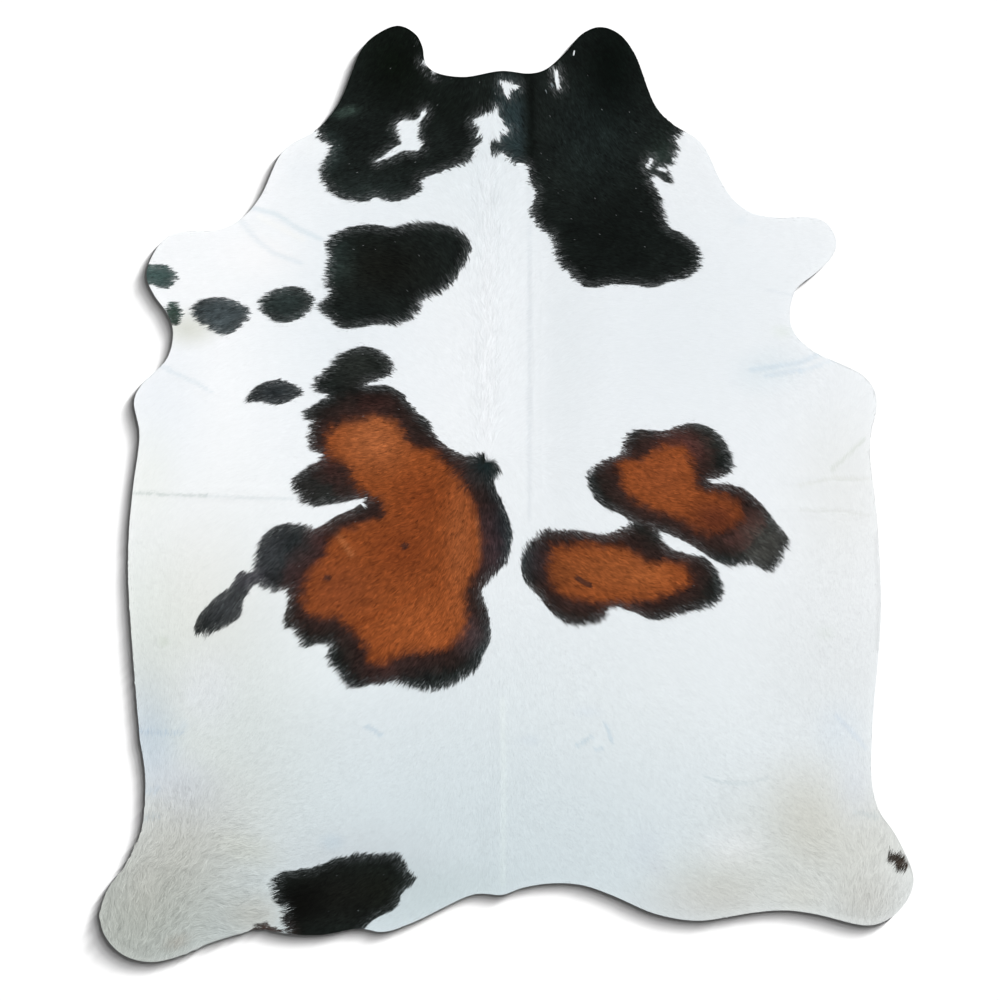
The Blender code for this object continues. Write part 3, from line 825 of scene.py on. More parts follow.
class Field:
    """Values on an even grid over the hide, read between the grid's points."""

    def __init__(self, ring):
        self.low = ring.min(axis=0) - GRID_MARGIN
        high = ring.max(axis=0) + GRID_MARGIN
        self.size = np.ceil((high - self.low) / GRID_PITCH).astype(int) + 1
        steps = np.stack(np.meshgrid(*map(np.arange, self.size), indexing="ij"), axis=-1)
        self.places = (steps * GRID_PITCH + self.low).reshape(-1, 2)

    def filled(self, values):
        """A function that reads these values, one for each of the grid's places."""
        values = values.reshape(*self.size, -1)

        def read(places):
            where = np.clip((places - self.low) / GRID_PITCH, 0.0, self.size - LAST_CELL)
            x, y = np.floor(where).astype(int).T
            across, along = (where - np.floor(where)).T[:, :, None]
            found = read_cells(values, x, x + 1, y, y + 1, across, along)
            return found[:, 0] if found.shape[1] == 1 else found

        return read


def frame_shape(node):
    """The frame's node as one closed shape with its points joined."""
    shape = bmesh.new()
    shape.from_mesh(node.data)
    bmesh.ops.remove_doubles(shape, verts=shape.verts, dist=JOIN_DISTANCE)
    shape.normal_update()
    return shape


def frame_rim(shape):
    """The frame's cut edge, in order, as a smooth closed curve."""
    follows = {}
    for edge in shape.edges:
        tilts = sorted(face.normal.z for face in edge.link_faces)
        if len(tilts) == 2 and tilts[0] < UNDERSIDE_TILT and abs(tilts[1]) < CUT_EDGE_TILT:
            for a, b in (edge.verts, reversed(edge.verts)):
                follows.setdefault(a, []).append(b)
    first = next(iter(follows))
    ring, before, now = [], None, first
    while now is not first or not ring:
        ring.append(now.co.xy[:])
        before, now = now, next(v for v in follows[now] if v is not before)
    ring = np.array(ring)
    x, y = ring.T
    if (x * np.roll(y, -1) - np.roll(x, -1) * y).sum() < 0:
        ring = ring[::-1]
    return closed_curve(ring, RIM_SPACING)


def frame_heights(shape, field):
    """Height of the frame's lower face at the grid's places, carried on past its edge."""
    tree = BVHTree.FromBMesh(shape)
    up = Vector((0.0, 0.0, 1.0))
    hits = (tree.ray_cast(Vector((x, y, -FAR)), up)[0] for x, y in field.places)
    heights = np.array([math.nan if hit is None else hit.z for hit in hits]).reshape(field.size)
    while np.isnan(heights).any():
        grown = np.nanmean([np.roll(heights, step, axis) for step in (-1, 1) for axis in (0, 1)]
                           + [np.full(heights.shape, np.nan)], axis=0)
        heights = np.where(np.isnan(heights), grown, heights)
    for _ in range(SMOOTHING_PASSES):
        for axis in (0, 1):
            heights = (np.roll(heights, 1, axis) + 2 * heights + np.roll(heights, -1, axis)) / 4
    return heights.ravel()


def fine_relief(places):
    """What the finer creases add to the sheet's height."""
    height = np.zeros(len(places))
    for _, start, end, crest, half_width in CREASES:
        away, along, length = line_distance(places, metres(start), metres(end))
        fade = CREASE_FADE * length
        taper = smooth_step((length - along) / fade) * smooth_step((along + fade / 2) / fade)
        height += crest * MM * taper * smooth_step(1.0 - away / (half_width * MM))
    return height


def lie_of_the_hair(places):
    """The way the hair points, its length in metres and how ruffled it is."""
    total = np.zeros((len(places), 4))
    weights = np.zeros(len(places))
    for *centre, turn, length, ruffle in rows_of(LIE):
        away = ((places - metres(centre)) ** 2).sum(axis=1)
        weight = 1.0 / (away + LIE_SOFTNESS**2) ** 2
        way = math.cos(math.radians(turn)), math.sin(math.radians(turn))
        total += weight[:, None] * (*way, length * MM, ruffle)
        weights += weight
    total[:, :2] = unit(total[:, :2])
    total[:, 2:] /= weights[:, None]
    return total


class Hide:
    """The rug's edge, heights and lie of the hair."""

    def __init__(self, node):
        shape = frame_shape(node)
        self.rim = frame_rim(shape)
        self.field = Field(self.rim)
        depth = distance_in_ring(self.field.places, self.rim, FAR)
        settled = 1.0 - (1.0 - EDGE_LIFT_KEPT) * smooth_step(1.0 - depth / EDGE_LIFT_REACH)
        heights = frame_heights(shape, self.field) * settled + fine_relief(self.field.places)
        shape.free()
        self.height = self.field.filled(heights)
        slopes = np.gradient(heights.reshape(self.field.size), GRID_PITCH)
        self.slope = self.field.filled(np.stack(slopes, axis=-1))
        self.inside = self.field.filled(depth)
        self.lie = self.field.filled(lie_of_the_hair(self.field.places))
        self.black = self.field.filled(mark_distance(self.field.places, "black"))
        self.rust = self.field.filled(mark_distance(self.field.places, "rust"))

    def upright(self, places):
        """The sheet's own normals."""
        slopes = self.slope(places)
        return unit(np.column_stack((-slopes, np.ones(len(places)))))


def mark_distance(places, kind):
    """Distance into the marks of one kind, above 0 inside them."""
    deepest = np.full(len(places), -FAR)
    for points in PATCHES[kind].values():
        ring = closed_curve(metres(points), MARK_SPACING)
        deepest = np.maximum(deepest, distance_in_ring(places, ring, MARK_REACH))
    return deepest


def near_mark_distance(places, field, kind):
    """The same, read from its field except where the mark's edge is near."""
    depth = field(places)
    near = np.abs(depth) < NEAR_MARK
    depth[near] = mark_distance(places[near], kind)
    return depth


def stroke_distance(places, kind):
    """Distance into the narrow marks of one kind, above 0 inside them."""
    deepest = np.full(len(places), -FAR)
    for start, end, half_width in STROKES[kind].values():
        away, _, _ = line_distance(places, metres(start), metres(end))
        deepest = np.maximum(deepest, half_width * MM - away)
    return deepest


def shade(places, kind):
    """What the tints and the painted light and shade multiply the colour of one kind of coat by."""
    tint = np.ones((len(places), 3))
    for points, half_width, factor in rows_of(LINES_OF_MARKS_AND_PAINTED_LIGHT[kind]):
        points = metres(points)
        parts = [line_distance(places, *ends)[0] for ends in zip(points, points[1:])]
        strength = smooth_step(1.0 - np.min(parts, axis=0) / (half_width * MM))[:, None]
        tint *= 1.0 + strength * (np.array(factor) - 1.0)
    for row in rows_of(TINTS_AND_PAINTED_LIGHT[kind]):
        centre, reach, turn, factor = metres(row[:2]), metres(row[2:4]), row[4], row[5:]
        away = np.linalg.norm(turned(places - centre, -math.radians(turn)) / reach, axis=1)
        tint *= 1.0 + smooth_step(1.0 - away)[:, None] * (np.array(factor) - 1.0)
    return tint


def colours(hide, places, shift, blend):
    """The share of marked hair and of white hairs in it, and the white and the marked colour."""
    black = near_mark_distance(places + shift, hide.black, "black") - MARK_INSET
    near_stroke = places + shift * STROKE_SHIFT
    window = mark_distance(places + shift * WINDOW_SHIFT, "white")
    window = np.maximum(window, stroke_distance(near_stroke, "white"))
    black = np.minimum(black, -window - WINDOW_OUTSET)
    dark = smooth_step(0.5 + black / (2 * blend))
    rust = near_mark_distance(places + shift, hide.rust, "rust")
    rust += RUST_SHIFT * smooth_noise(places, RUST_SHIFT_SIZE, RUST_SEED)
    rusty = smooth_step(0.5 + rust / (2 * RUST_BLEND)) ** RUST_POWER
    spots = stroke_distance(near_stroke, "rust spot")
    rusty *= 1.0 - SPOT_DEPTH * smooth_step(0.5 + spots / (2 * blend))
    ember = smooth_step(1.0 + rust / EMBER_REACH)
    mottle = smooth_noise(places, MOTTLE_SIZE, MOTTLE_SEED)
    mottle += smooth_noise(places, MOTTLE_SIZE / 2, FINE_MOTTLE_SEED)
    # The tints hold painted light as well as the coat's own colours.
    blackish = BLACK * shade(places, "black") * (1.0 + ember[:, None] * (EMBER - 1.0))
    # Painted sheen: broad lighter clouds in the black.
    sheen = SHEEN * smooth_noise(places, SHEEN_SIZE, SHEEN_SEED)
    blackish *= 1.0 + BLACK_MOTTLE * mottle[:, None] + sheen[:, None]
    rust_red = RUST * shade(places, "rust") * (1.0 + RUST_MOTTLE * mottle[:, None])
    marked = blackish + (rust_red - blackish) * rusty[:, None]
    white = WHITE * shade(places, "white")
    grizzle = GRIZZLE * smooth_step(1.0 - black / GRIZZLE_REACH) * (1.0 - rusty)
    return dark, grizzle, white, marked


def store(mesh, name, values):
    """Keeps one value or vector for each point of the mesh, for its material."""
    is_vector = values.ndim == 2
    layer = mesh.attributes.new(name, "FLOAT_VECTOR" if is_vector else "FLOAT", "POINT")
    layer.data.foreach_set("vector" if is_vector else "value", values.astype(np.float32).ravel())


def store_map(mesh, places):
    """Lays the mesh's map flat, as seen from above."""
    low, high = places.min(axis=0), places.max(axis=0)
    corners = np.empty(len(mesh.loops), dtype=np.int32)
    mesh.loops.foreach_get("vertex_index", corners)
    flat = ((places - low) / (high - low).max())[corners]
    mesh.uv_layers.new(name="OFBake").data.foreach_set("uv", flat.astype(np.float32).ravel())


def add_object(name, data):
    """The data as a new object in the scene."""
    item = bpy.data.objects.new(name, data)
    bpy.context.scene.collection.objects.link(item)
    return item


def add_piece(name, mesh, materials):
    """The mesh as a piece of the rug, riding on its one body."""
    for material in materials:
        mesh.materials.append(material)
    piece = add_object(name, mesh)
    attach(piece, "root")
    return piece


def clear_of(places, others, gap):
    """True for each place that keeps the gap from all the others, by cells of that size."""
    taken = set()
    for cell in np.floor(others / gap).astype(int):
        for across in (-1, 0, 1):
            for along in (-1, 0, 1):
                taken.add((cell[0] + across, cell[1] + along))
    return np.array([tuple(cell) not in taken for cell in np.floor(places / gap).astype(int)])


def sheet_points(hide):
    """Points of the leather sheet: its rim, rows over the creases and an even grid between."""
    rows = []
    for _, start, end, _, half_width in CREASES:
        start, end = metres(start), metres(end)
        way = end - start
        length = np.linalg.norm(way)
        side = np.array((-way[1], way[0])) / length
        steps = np.linspace(0.0, 1.0, round(length / CREASE_SPACING) + 1)
        for share in CREASE_ROWS:
            rows.append(start + steps[:, None] * way + side * share * half_width * MM)
    creases = np.vstack(rows)
    creases = creases[hide.inside(creases) > RIM_MARGIN]
    low, high = hide.rim.min(axis=0), hide.rim.max(axis=0)
    row_gap = SHEET_SPACING * math.sqrt(3) / 2
    grid = []
    for row, y in enumerate(np.arange(low[1], high[1], row_gap)):
        x = np.arange(low[0] + SHEET_SPACING / 2 * (row % 2), high[0], SHEET_SPACING)
        grid.append(np.column_stack((x, np.full(len(x), y))))
    grid = np.vstack(grid)
    grid = grid[hide.inside(grid) > RIM_MARGIN]
    grid = grid[clear_of(grid, creases, CREASE_MARGIN)]
    return np.vstack((hide.rim, creases, grid))


def leather_sheet(hide, materials):
    """The tanned skin: the dyed side up with the roots of the coat, the flesh side down."""
    ring = list(range(len(hide.rim)))
    flat, _, faces, points_from, *_ = delaunay_2d_cdt(
        [tuple(place) for place in sheet_points(hide)], [], [ring], INSIDE_ONLY, MERGE_DISTANCE
    )
    flat = np.array([tuple(place) for place in flat])
    faces = np.array(faces)
    a, b, c = (flat[faces[:, corner]] for corner in range(3))
    turns = (b[:, 0] - a[:, 0]) * (c[:, 1] - a[:, 1]) - (b[:, 1] - a[:, 1]) * (c[:, 0] - a[:, 0])
    faces = np.where((turns < 0)[:, None], faces[:, ::-1], faces)
    count = len(flat)
    place_of = {origin: index for index, origins in enumerate(points_from) for origin in origins}
    rim = np.array([place_of[corner] for corner in ring])
    ahead = np.roll(rim, -1)
    heights = hide.height(flat)
    below = np.column_stack((flat, heights))
    above = np.column_stack((flat, heights + LEATHER_THICKNESS))
    walls = np.vstack((
        np.column_stack((rim, ahead, ahead + count)),
        np.column_stack((rim, ahead + count, rim + count)),
    ))
    mesh = bpy.data.meshes.new("hide_leather")
    everything = np.vstack((faces + count, faces[:, ::-1], walls))
    mesh.from_pydata(np.vstack((below, above)), [], everything.tolist())
    skin, flesh, cut = 0, 1, 2
    index = np.repeat((skin, flesh, cut), (len(faces), len(faces), len(walls)))
    mesh.polygons.foreach_set("material_index", index.astype(np.int32))
    smooth = np.repeat((True, True, False), (len(faces), len(faces), len(walls)))
    mesh.polygons.foreach_set("use_smooth", smooth)
    dark, _, white, marked = colours(hide, flat, np.zeros((count, 2)), SKIN_BLEND)
    hue = white + (marked - white) * dark[:, None]
    store(mesh, "hue", np.vstack((hue, hue)))
    for name in ("strand", "along"):
        store(mesh, name, np.ones(2 * count))
    store_map(mesh, np.vstack((flat, flat)))
    mesh.update()
    return add_piece("hide_leather", mesh, materials)


def nearest_clumps(places, size, seed):
    """Centre and number of the clump of hair that each place belongs to."""
    jitter = np.random.default_rng(seed).uniform(*CLUMP_JITTER, (LATTICE, LATTICE, 2))
    home = np.floor(places / size).astype(int)
    closest = np.full(len(places), math.inf)
    centres = np.zeros((len(places), 2))
    numbers = np.zeros(len(places), dtype=int)
    for across in (-1, 0, 1):
        for along in (-1, 0, 1):
            cell = home + (across, along)
            x, y = (cell % LATTICE).T
            middle = (cell + jitter[x, y]) * size
            away = ((places - middle) ** 2).sum(axis=1)
            closer = away < closest
            closest[closer] = away[closer]
            centres[closer] = middle[closer]
            numbers[closer] = (x * LATTICE + y)[closer]
    return centres, numbers


def roots(hide, spacing, seed):
    """Where the blades stand: an even grid in staggered rows, with each one moved a little."""
    rng = np.random.default_rng(seed)
    low, high = hide.rim.min(axis=0), hide.rim.max(axis=0)
    across = np.arange(low[0], high[0], spacing)
    along = np.arange(low[1], high[1], spacing * math.sqrt(3) / 2)
    x, y = np.meshgrid(across, along)
    x = x + spacing / 2 * (np.arange(len(along)) % 2)[:, None]
    places = np.column_stack((x.ravel(), y.ravel()))
    places += rng.uniform(-ROOT_JITTER, ROOT_JITTER, places.shape) * spacing
    return places[hide.inside(places) > EDGE_INSET]


def kind_of_hair(hide, places):
    """The name of the hair at each place; where two kinds meet, they mingle."""
    stray = smooth_noise(places, STRAY_SIZE, STRAY_SEED)
    depth = hide.black(places)
    ruffle = hide.lie(places)[:, 3] + STRAY_RUFFLE * stray
    away, _, _ = line_distance(places, *metres(FEATHER))
    kind = np.where((depth > 0) | (ruffle > SHORT_FROM), "short", "sleek")
    kind = np.where(ruffle > WAVY_FROM, "wavy", kind)
    kind = np.where(away + STRAY_REACH * stray < FEATHER_REACH, "feather", kind)
    return np.where(np.abs(depth) + STRAY_REACH * stray < FRINGE_REACH, "fringe", kind)


def blade_faces(profile):
    """The faces of one blade, as the numbers of its points from root to tip."""
    faces, before, count = [], [], 0
    for _, width, _ in profile:
        now = [count] if width == 0 else [count, count + 1]
        count += len(now)
        if before:
            faces.append(before[:1] + now + before[1:])
        before = now
    return faces


class Blades:
    """All blades of one kind of hair: their points, normals and colours."""

    def __init__(self, hide, kind, seed):
        name, spacing, widths, lifts, longer, profile = kind
        sparser = 1.0
        root = roots(hide, spacing * MM * sparser, seed)
        root = root[kind_of_hair(hide, root) == name]
        count = len(root)
        rng = np.random.default_rng(seed + 1)
        clump_centre, clump = nearest_clumps(root, CLUMP_SIZE, CLUMP_SEED)
        draws = np.random.default_rng(OWN_CLUMP_SEED).uniform(-1.0, 1.0, (4, LATTICE * LATTICE))
        longer_clump, higher_clump, shifted_clump, paler_clump = draws[:, clump]
        lie = hide.lie(root)
        ruffle = np.maximum(lie[:, 3], FEATHER_RUFFLE) if name == "feather" else lie[:, 3]
        lint = (rng.random(count) < LINT_SHARE) & (hide.black(root) > 0) & (hide.rust(root) < 0)
        spread = CLUMP_SPREAD * longer_clump + rng.uniform(-LENGTH_SPREAD, LENGTH_SPREAD, count)
        length = lie[:, 2] * longer * (1 + spread) * np.where(lint, LINT_LENGTH, 1.0)
        bend = rng.normal(0.0, HEADING_SPREAD * (LEAST_BEND + ruffle))
        centres = self.centre_lines(hide, root, length, bend, ruffle, profile)
        pull = (clump_centre - root) * CLUMP_PULL
        for centre, (share, _, _) in zip(centres, profile):
            centre += pull * share
        self.trim(hide, centres)
        ahead = unit(centres[-1] - root)
        shift = CLUMP_SHIFT * shifted_clump + rng.normal(0.0, BLADE_SHIFT, count)
        read_at = root + (centres[-1] - root) * READ_AT
        dark, grizzle, white, marked = colours(hide, read_at, ahead * shift[:, None], MARK_BLEND)
        width = rng.uniform(*widths, count) * MM * sparser * np.where(lint, LINT_WIDTH, 1.0)
        lift = rng.uniform(*lifts, count) * MM * (1 + CLUMP_SPREAD * higher_clump)
        if name == "fringe":
            lift *= mixed(dark, 0.0, 1.0, PALE_FRINGE_LIFT, 1.0)
        if name == "wavy":
            wavy = smooth_step((ruffle - WAVY_FROM) / (1 - WAVY_FROM))
            lift *= mixed(wavy, 0.0, 1.0, TAME_LIFT, 1.0)
        inner = smooth_step(hide.inside(centres[-1]) / EDGE_TAMED)
        lift *= mixed(inner, 0.0, 1.0, EDGE_LIFT, 1.0)
        lift = np.where(lint, lifts[1] * MM * LINT_LIFT, lift)
        roll = rng.uniform(-ROLL, ROLL, count) * mixed(ruffle, 0.0, 1.0, LEAST_ROLL, 1.0)
        dark *= 1.0 - np.minimum(grizzle * rng.exponential(1.0, count), MOST_GRIZZLE)
        dark *= np.where(lint, 1.0 - LINT_TONE, 1.0)
        in_marks = DARK_UNEVEN - RUST_EVENS * smooth_step(marked[:, 0] / RED_FROM)
        even, by_ruffle, by_wild = WHITE_UNEVEN
        in_white = even + by_ruffle * ruffle + by_wild * ruffle**4
        uneven = np.where(dark > 0.5, in_marks, in_white)
        tone = 1.0 + uneven * (paler_clump + rng.normal(0.0, 1.0, count))
        self.hue = white + (marked - white) * dark[:, None]
        self.hue *= np.maximum(tone, DARKEST_TONE)[:, None]
        self.seed = rng.uniform(0.0, 1.0, count)
        own_share = OWN_NORMAL[0] + OWN_NORMAL[1] * ruffle**2
        self.shape(hide, centres, profile, width, lift, roll, own_share)

    def shape(self, hide, centres, profile, width, lift, roll, own_share):
        """Makes the points and normals of the blades from their middle lines."""
        root, tip = centres[0], centres[-1]
        length = np.linalg.norm(tip - root, axis=1)
        ahead = unit(tip - root)
        sides = np.column_stack((-ahead[:, 1], ahead[:, 0], roll))
        rise = (lift + hide.height(tip) - hide.height(root)) / np.maximum(length, MM)
        own_normal = unit(np.cross(np.column_stack((ahead, rise)), sides))
        even_normal = hide.upright((root + tip) / 2)
        own_share = own_share[:, None]
        self.normals = unit(even_normal * (1 - own_share) + own_normal * own_share)
        self.points = self.place_points(hide, centres, profile, width, lift, roll)
        self.faces = blade_faces(profile)
        self.root = root
        corners = [
            (share, way) for share, wide, _ in profile for way in ((1, -1) if wide else (0,))
        ]
        self.along, self.across = np.array(corners).T

    @staticmethod
    def centre_lines(hide, root, length, bend, ruffle, profile):
        """The middle of each cross-section, following the lie of the hair from the root."""
        place, centres = root, [root.copy()]
        for (share, _, _), (next_share, _, _) in zip(profile, profile[1:]):
            angle = WAVE_ANGLE * ruffle * smooth_noise(place, WAVE_SIZE, WAVE_SEED)
            angle += CURL_ANGLE * ruffle * smooth_noise(place, CURL_SIZE, CURL_SEED)
            way = turned(unit(hide.lie(place)[:, :2]), angle + bend)
            place = place + way * ((next_share - share) * length)[:, None]
            centres.append(place)
        return centres

    @staticmethod
    def trim(hide, centres):
        """Shortens the blades that reach past the cut edge."""
        root, tip = centres[0], centres[-1]
        near, far = hide.inside(root), hide.inside(tip)
        beyond = far < -OVER_THE_EDGE
        kept = np.ones(len(root))
        kept[beyond] = ((near + OVER_THE_EDGE) / (near - far))[beyond]
        for centre in centres[1:]:
            centre[:] = root + (centre - root) * kept[:, None]

    @staticmethod
    def place_points(hide, centres, profile, width, lift, roll):
        """The blades' points, from root to tip and the right one of each pair first."""
        points = []
        for number, (centre, (_, wide, high)) in enumerate(zip(centres, profile)):
            behind, before = max(number - 1, 0), min(number + 1, len(centres) - 1)
            way = unit(centres[before] - centres[behind])
            side = np.column_stack((-way[:, 1], way[:, 0]))
            for turn in (-1, 1) if wide else (0,):
                flat = centre + side * (turn * wide * width / 2)[:, None]
                height = hide.height(flat) + LEATHER_THICKNESS + ROOT_LIFT + lift * high
                points.append(np.column_stack((flat, height + turn * roll * wide * width / 2)))
        return np.stack(points, axis=1)


class Tufts(Blades):
    """The longer strands that stand out at the points of the markings."""

    def __init__(self, hide, seed):
        rng = np.random.default_rng(seed)
        starts, ends, hues = [], [], []
        for tone, row in ((tone, row) for _, tone, rows in TUFTS for row in rows):
            number, spread = row[4:]
            starts.append(row[:2] + rng.normal(0.0, spread * TUFT_ROOT_SPREAD, (number, 2)))
            ends.append(row[2:4] + rng.normal(0.0, spread, (number, 2)))
            hues.append(np.tile(TUFT_COLOURS[tone], (number, 1)))
        root, way = np.vstack(starts) * MM, (np.vstack(ends) - np.vstack(starts)) * MM
        count = len(root)
        bow = np.column_stack((-way[:, 1], way[:, 0])) * rng.normal(0.0, TUFT_BOW, (count, 1))
        centres = [root + way * share + bow * math.sin(math.pi * share) for share, _, _ in LOCK]
        self.hue = np.vstack(hues) * rng.normal(1.0, TUFT_UNEVEN, (count, 1))
        self.seed = rng.uniform(0.0, 1.0, count)
        width, lift = (rng.uniform(*span, count) * MM for span in (TUFT_WIDTHS, TUFT_LIFTS))
        roll = rng.uniform(-ROLL, ROLL, count)
        self.shape(hide, centres, LOCK, width, lift, roll, np.full(count, TUFT_OWN_NORMAL))


def coat_piece(name, across, along, kinds, material):
    """The blades that stand in one part of the hide, as one joined mesh."""
    points, normals, starts, corners, values = [], [], [], [], {}
    point_count = corner_count = triangles = 0
    for blades in kinds:
        x, y = blades.root.T / MM
        chosen = (x >= across[0]) & (x < across[1]) & (y >= along[0]) & (y < along[1])
        count, each = chosen.sum(), blades.points.shape[1]
        points.append(blades.points[chosen].reshape(-1, 3))
        normals.append(np.repeat(blades.normals[chosen], each, axis=0))
        first = point_count + each * np.arange(count)
        corners.append((first[:, None] + np.concatenate(blades.faces)).ravel())
        sizes = np.array([len(face) for face in blades.faces])
        begin = np.concatenate(((0,), np.cumsum(sizes)[:-1]))
        starts.append((corner_count + sizes.sum() * np.arange(count)[:, None] + begin).ravel())
        point_count += each * count
        corner_count += sizes.sum() * count
        triangles += (sizes - 2).sum() * count
        values.setdefault("hue", []).append(np.repeat(blades.hue[chosen], each, axis=0))
        strand = blades.across + STRAND_STEP * blades.seed[chosen][:, None]
        values.setdefault("strand", []).append(strand.ravel())
        values.setdefault("along", []).append(np.tile(blades.along, count))
    if triangles > MOST_TRIANGLES:
        raise ValueError(f"{name} has {triangles} triangles, more than {MOST_TRIANGLES}")
    points = np.vstack(points)
    mesh = bpy.data.meshes.new(name)
    mesh.vertices.add(point_count)
    mesh.vertices.foreach_set("co", points.astype(np.float32).ravel())
    mesh.loops.add(corner_count)
    mesh.loops.foreach_set("vertex_index", np.concatenate(corners).astype(np.int32))
    starts = np.concatenate(starts)
    mesh.polygons.add(len(starts))
    mesh.polygons.foreach_set("loop_start", starts.astype(np.int32))
    mesh.update(calc_edges=True)
    for label, parts in values.items():
        store(mesh, label, np.concatenate(parts))
    store_map(mesh, points[:, :2])
    store(mesh, "custom_normal", np.vstack(normals))
    return add_piece(name, mesh, [material])


class Nodes:
    """A new material's nodes, made and joined in short calls."""

    def __init__(self, name):
        self.material = bpy.data.materials.new(name)
        self.material.use_nodes = True
        self.tree = self.material.node_tree
        self.shader = self.tree.nodes["Principled BSDF"]

    def node(self, kind, settings=None, **inputs):
        """A node of one kind with its settings and its inputs, linked or set."""
        node = self.tree.nodes.new(kind)
        for key, value in (settings or {}).items():
            setattr(node, key, value)
        for key, value in inputs.items():
            self.put(node.inputs[int(key[1:]) if key[0] == "_" else key], value)
        return node

    def put(self, socket, value):
        """Links a socket to another, or sets its value."""
        if isinstance(value, bpy.types.NodeSocket):
            self.tree.links.new(value, socket)
        else:
            socket.default_value = value

    def surface(self, **inputs):
        """Links or sets the shader's inputs; a low line in their names stands for a space."""
        for key, value in inputs.items():
            self.put(self.shader.inputs[key.replace("_", " ")], value)

    def attribute(self, name, output):
        """What the mesh keeps under this name."""
        return self.node("ShaderNodeAttribute", {"attribute_name": name}).outputs[output]

    def mix(self, share, first, second, blend="MIX"):
        """Two colours mixed by a share."""
        settings = {"data_type": "RGBA", "blend_type": blend}
        return self.node("ShaderNodeMix", settings, _0=share, _6=first, _7=second).outputs[2]

    def math(self, operation, first, second):
        """Two numbers joined by an operation."""
        return self.node("ShaderNodeMath", {"operation": operation}, _0=first, _1=second).outputs[0]

    def ranged(self, value, limits, new_limits):
        """A number moved from one range to another."""
        (low, high), (new_low, new_high) = limits, new_limits
        ends = {"_1": low, "_2": high, "_3": new_low, "_4": new_high}
        return self.node("ShaderNodeMapRange", _0=value, **ends).outputs[0]


def coat_material(name):
    """Hair in its own colour, with fine strands along each blade that pale towards the tip."""
    nodes = Nodes(name)
    strand, along = nodes.attribute("strand", "Fac"), nodes.attribute("along", "Fac")
    spot = nodes.node("ShaderNodeCombineXYZ", X=strand, Y=along).outputs[0]
    flat = {"noise_dimensions": "2D"}
    noise = nodes.node("ShaderNodeTexNoise", flat, Vector=spot, **GRAIN_NOISE)
    grain = noise.outputs["Fac"]
    tone = nodes.math("MULTIPLY", nodes.ranged(grain, GRAIN, GRAIN_TONE),
                      nodes.ranged(along, (0.0, 1.0), ALONG_TONE))
    shades = nodes.node("ShaderNodeCombineXYZ", X=tone, Y=tone, Z=tone).outputs[0]
    rough = ROUGHNESS[name] - ROUGHNESS_SPREAD, ROUGHNESS[name] + ROUGHNESS_SPREAD
    nodes.surface(Base_Color=nodes.mix(1.0, nodes.attribute("hue", "Vector"), shades, "MULTIPLY"),
                  Roughness=nodes.ranged(grain, GRAIN, rough), Specular_IOR_Level=HAIR_SPECULAR)
    return nodes.material


def leather_material(name, light, deep, scale):
    """Suede or cut leather, mottled between two colours."""
    nodes = Nodes(name)
    cloud = nodes.node("ShaderNodeTexNoise", Scale=scale, Detail=CLOUD_DETAIL).outputs["Fac"]
    fine = scale * NAP_SCALE
    nap = nodes.node("ShaderNodeTexNoise", Scale=fine, Detail=NAP_DETAIL).outputs["Fac"]
    bump = nodes.node("ShaderNodeBump", Height=nap, Distance=NAP_DEPTH, Strength=NAP_STRENGTH)
    nodes.surface(Base_Color=nodes.mix(nodes.ranged(cloud, CLOUD, (0.0, 1.0)), light, deep),
                  Roughness=nodes.ranged(nap, GRAIN, NAP_ROUGHNESS), Normal=bump.outputs[0],
                  Specular_IOR_Level=LEATHER_SPECULAR)
    return nodes.material


def floor_material():
    """A matt pale floor."""
    nodes = Nodes("floor")
    colour = (FLOOR_WHITE, FLOOR_WHITE, FLOOR_WHITE, 1.0)
    nodes.surface(Base_Color=colour, Roughness=1.0, Specular_IOR_Level=0.0)
    return nodes.material


def add_sun(name, strength, elevation, angle, lit):
    """A sun from the upper right that lights only the given objects."""
    light = bpy.data.lights.new(name, "SUN")
    light.energy = strength
    light.angle = math.radians(angle)
    sun = add_object(name, light)
    up, round_ = math.radians(elevation), math.radians(LIGHT_AZIMUTH)
    flat = math.cos(up)
    towards = Vector((flat * math.cos(round_), flat * math.sin(round_), math.sin(up)))
    sun.rotation_euler = (-towards).to_track_quat("-Z", "Y").to_euler()
    receivers = bpy.data.collections.new(name + " lights")
    for item in lit:
        receivers.objects.link(item)
    sun.light_linking.receiver_collection = receivers


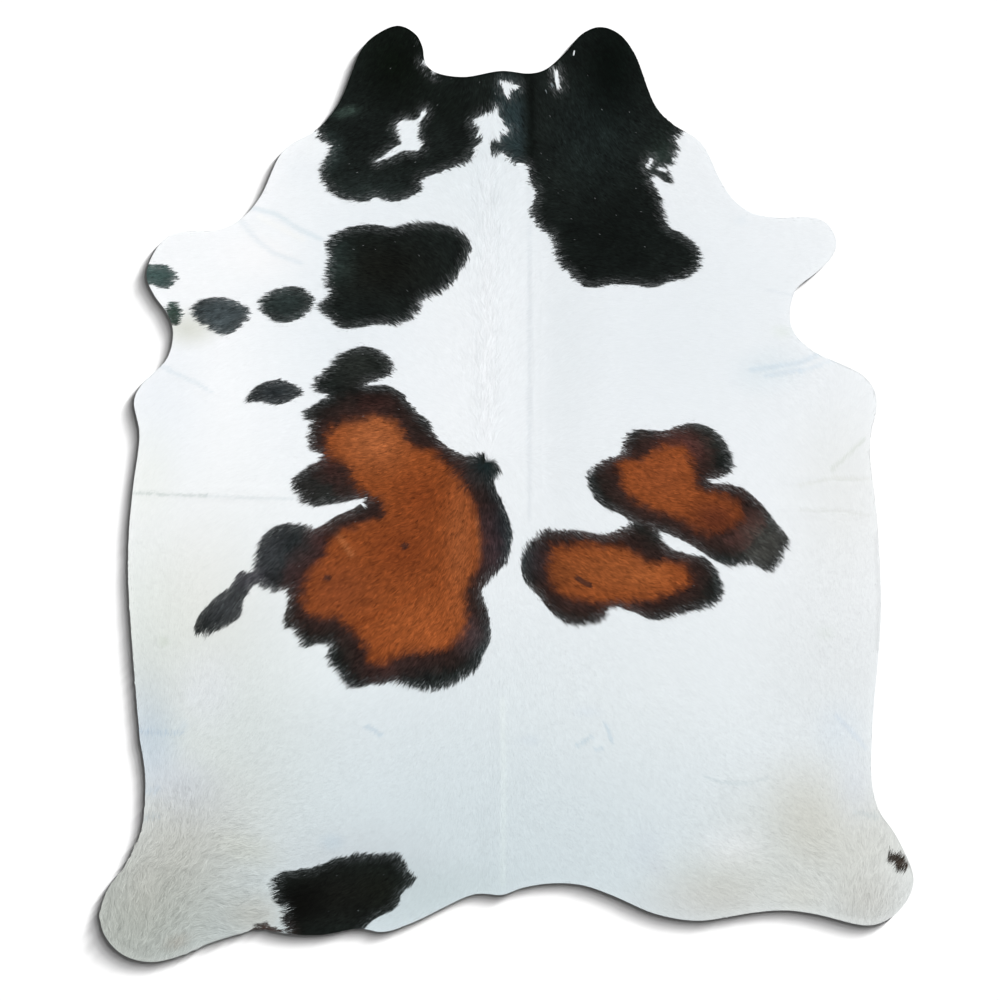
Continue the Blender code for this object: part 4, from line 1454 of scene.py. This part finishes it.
def studio(pieces):
    """A plain pale floor, even light from above and soft light from the upper right."""
    mesh = bpy.data.meshes.new("floor")
    corners = ((-1, -1), (1, -1), (1, 1), (-1, 1))
    points = [(x * FLOOR_HALF, y * FLOOR_HALF, -FLOOR_DROP) for x, y in corners]
    mesh.from_pydata(points, [], [(0, 1, 2, 3)])
    mesh.materials.append(floor_material())
    ground = add_object("floor", mesh)
    world = bpy.data.worlds.new("studio")
    world.use_nodes = True
    tree = world.node_tree
    dim, bright = tree.nodes["Background"], tree.nodes.new("ShaderNodeBackground")
    dim.inputs["Color"].default_value = bright.inputs["Color"].default_value = (1.0, 1.0, 1.0, 1.0)
    dim.inputs["Strength"].default_value = WORLD_STRENGTH
    seen = tree.nodes.new("ShaderNodeMixShader")
    tree.links.new(tree.nodes.new("ShaderNodeLightPath").outputs["Is Camera Ray"], seen.inputs[0])
    tree.links.new(dim.outputs[0], seen.inputs[1])
    tree.links.new(bright.outputs[0], seen.inputs[2])
    tree.links.new(seen.outputs[0], tree.nodes["World Output"].inputs["Surface"])
    bpy.context.scene.world = world
    for sun in COAT_SUNS:
        add_sun(*sun, pieces)
    for elevation, angle, share in FLOOR_SUNS:
        strength = FLOOR_LIGHT * share / math.sin(math.radians(elevation))
        add_sun(f"cast {elevation}", strength, elevation, angle, [ground])


def camera():
    """Straight above the rug, framed as in the photograph."""
    lens = bpy.data.cameras.new("camera")
    lens.sensor_width = SENSOR_WIDTH
    lens.lens = SENSOR_WIDTH * CAMERA_HEIGHT / PHOTO_WIDTH
    eye = add_object("camera", lens)
    eye.location = (*PHOTO_CENTRE, CAMERA_HEIGHT)
    bpy.context.scene.camera = eye
    bpy.context.scene.view_settings.view_transform = "Standard"


def main():
    """Builds the leather and the coat, then the floor, the light and the camera."""
    camera()
    hide = Hide(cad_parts["hide"])
    bare = [leather_material(*row) for row in LEATHERS]
    leather = leather_sheet(hide, [coat_material("coat roots"), *bare])
    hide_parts("hide")
    hair = coat_material("coat")
    kinds = [Blades(hide, kind, BLADE_SEED + 2 * number) for number, kind in enumerate(HAIR)]
    kinds.append(Tufts(hide, TUFT_SEED))
    pieces = [coat_piece(name, across, along, kinds, hair) for name, across, along in COAT_PIECES]
    studio([leather, *pieces])


main()
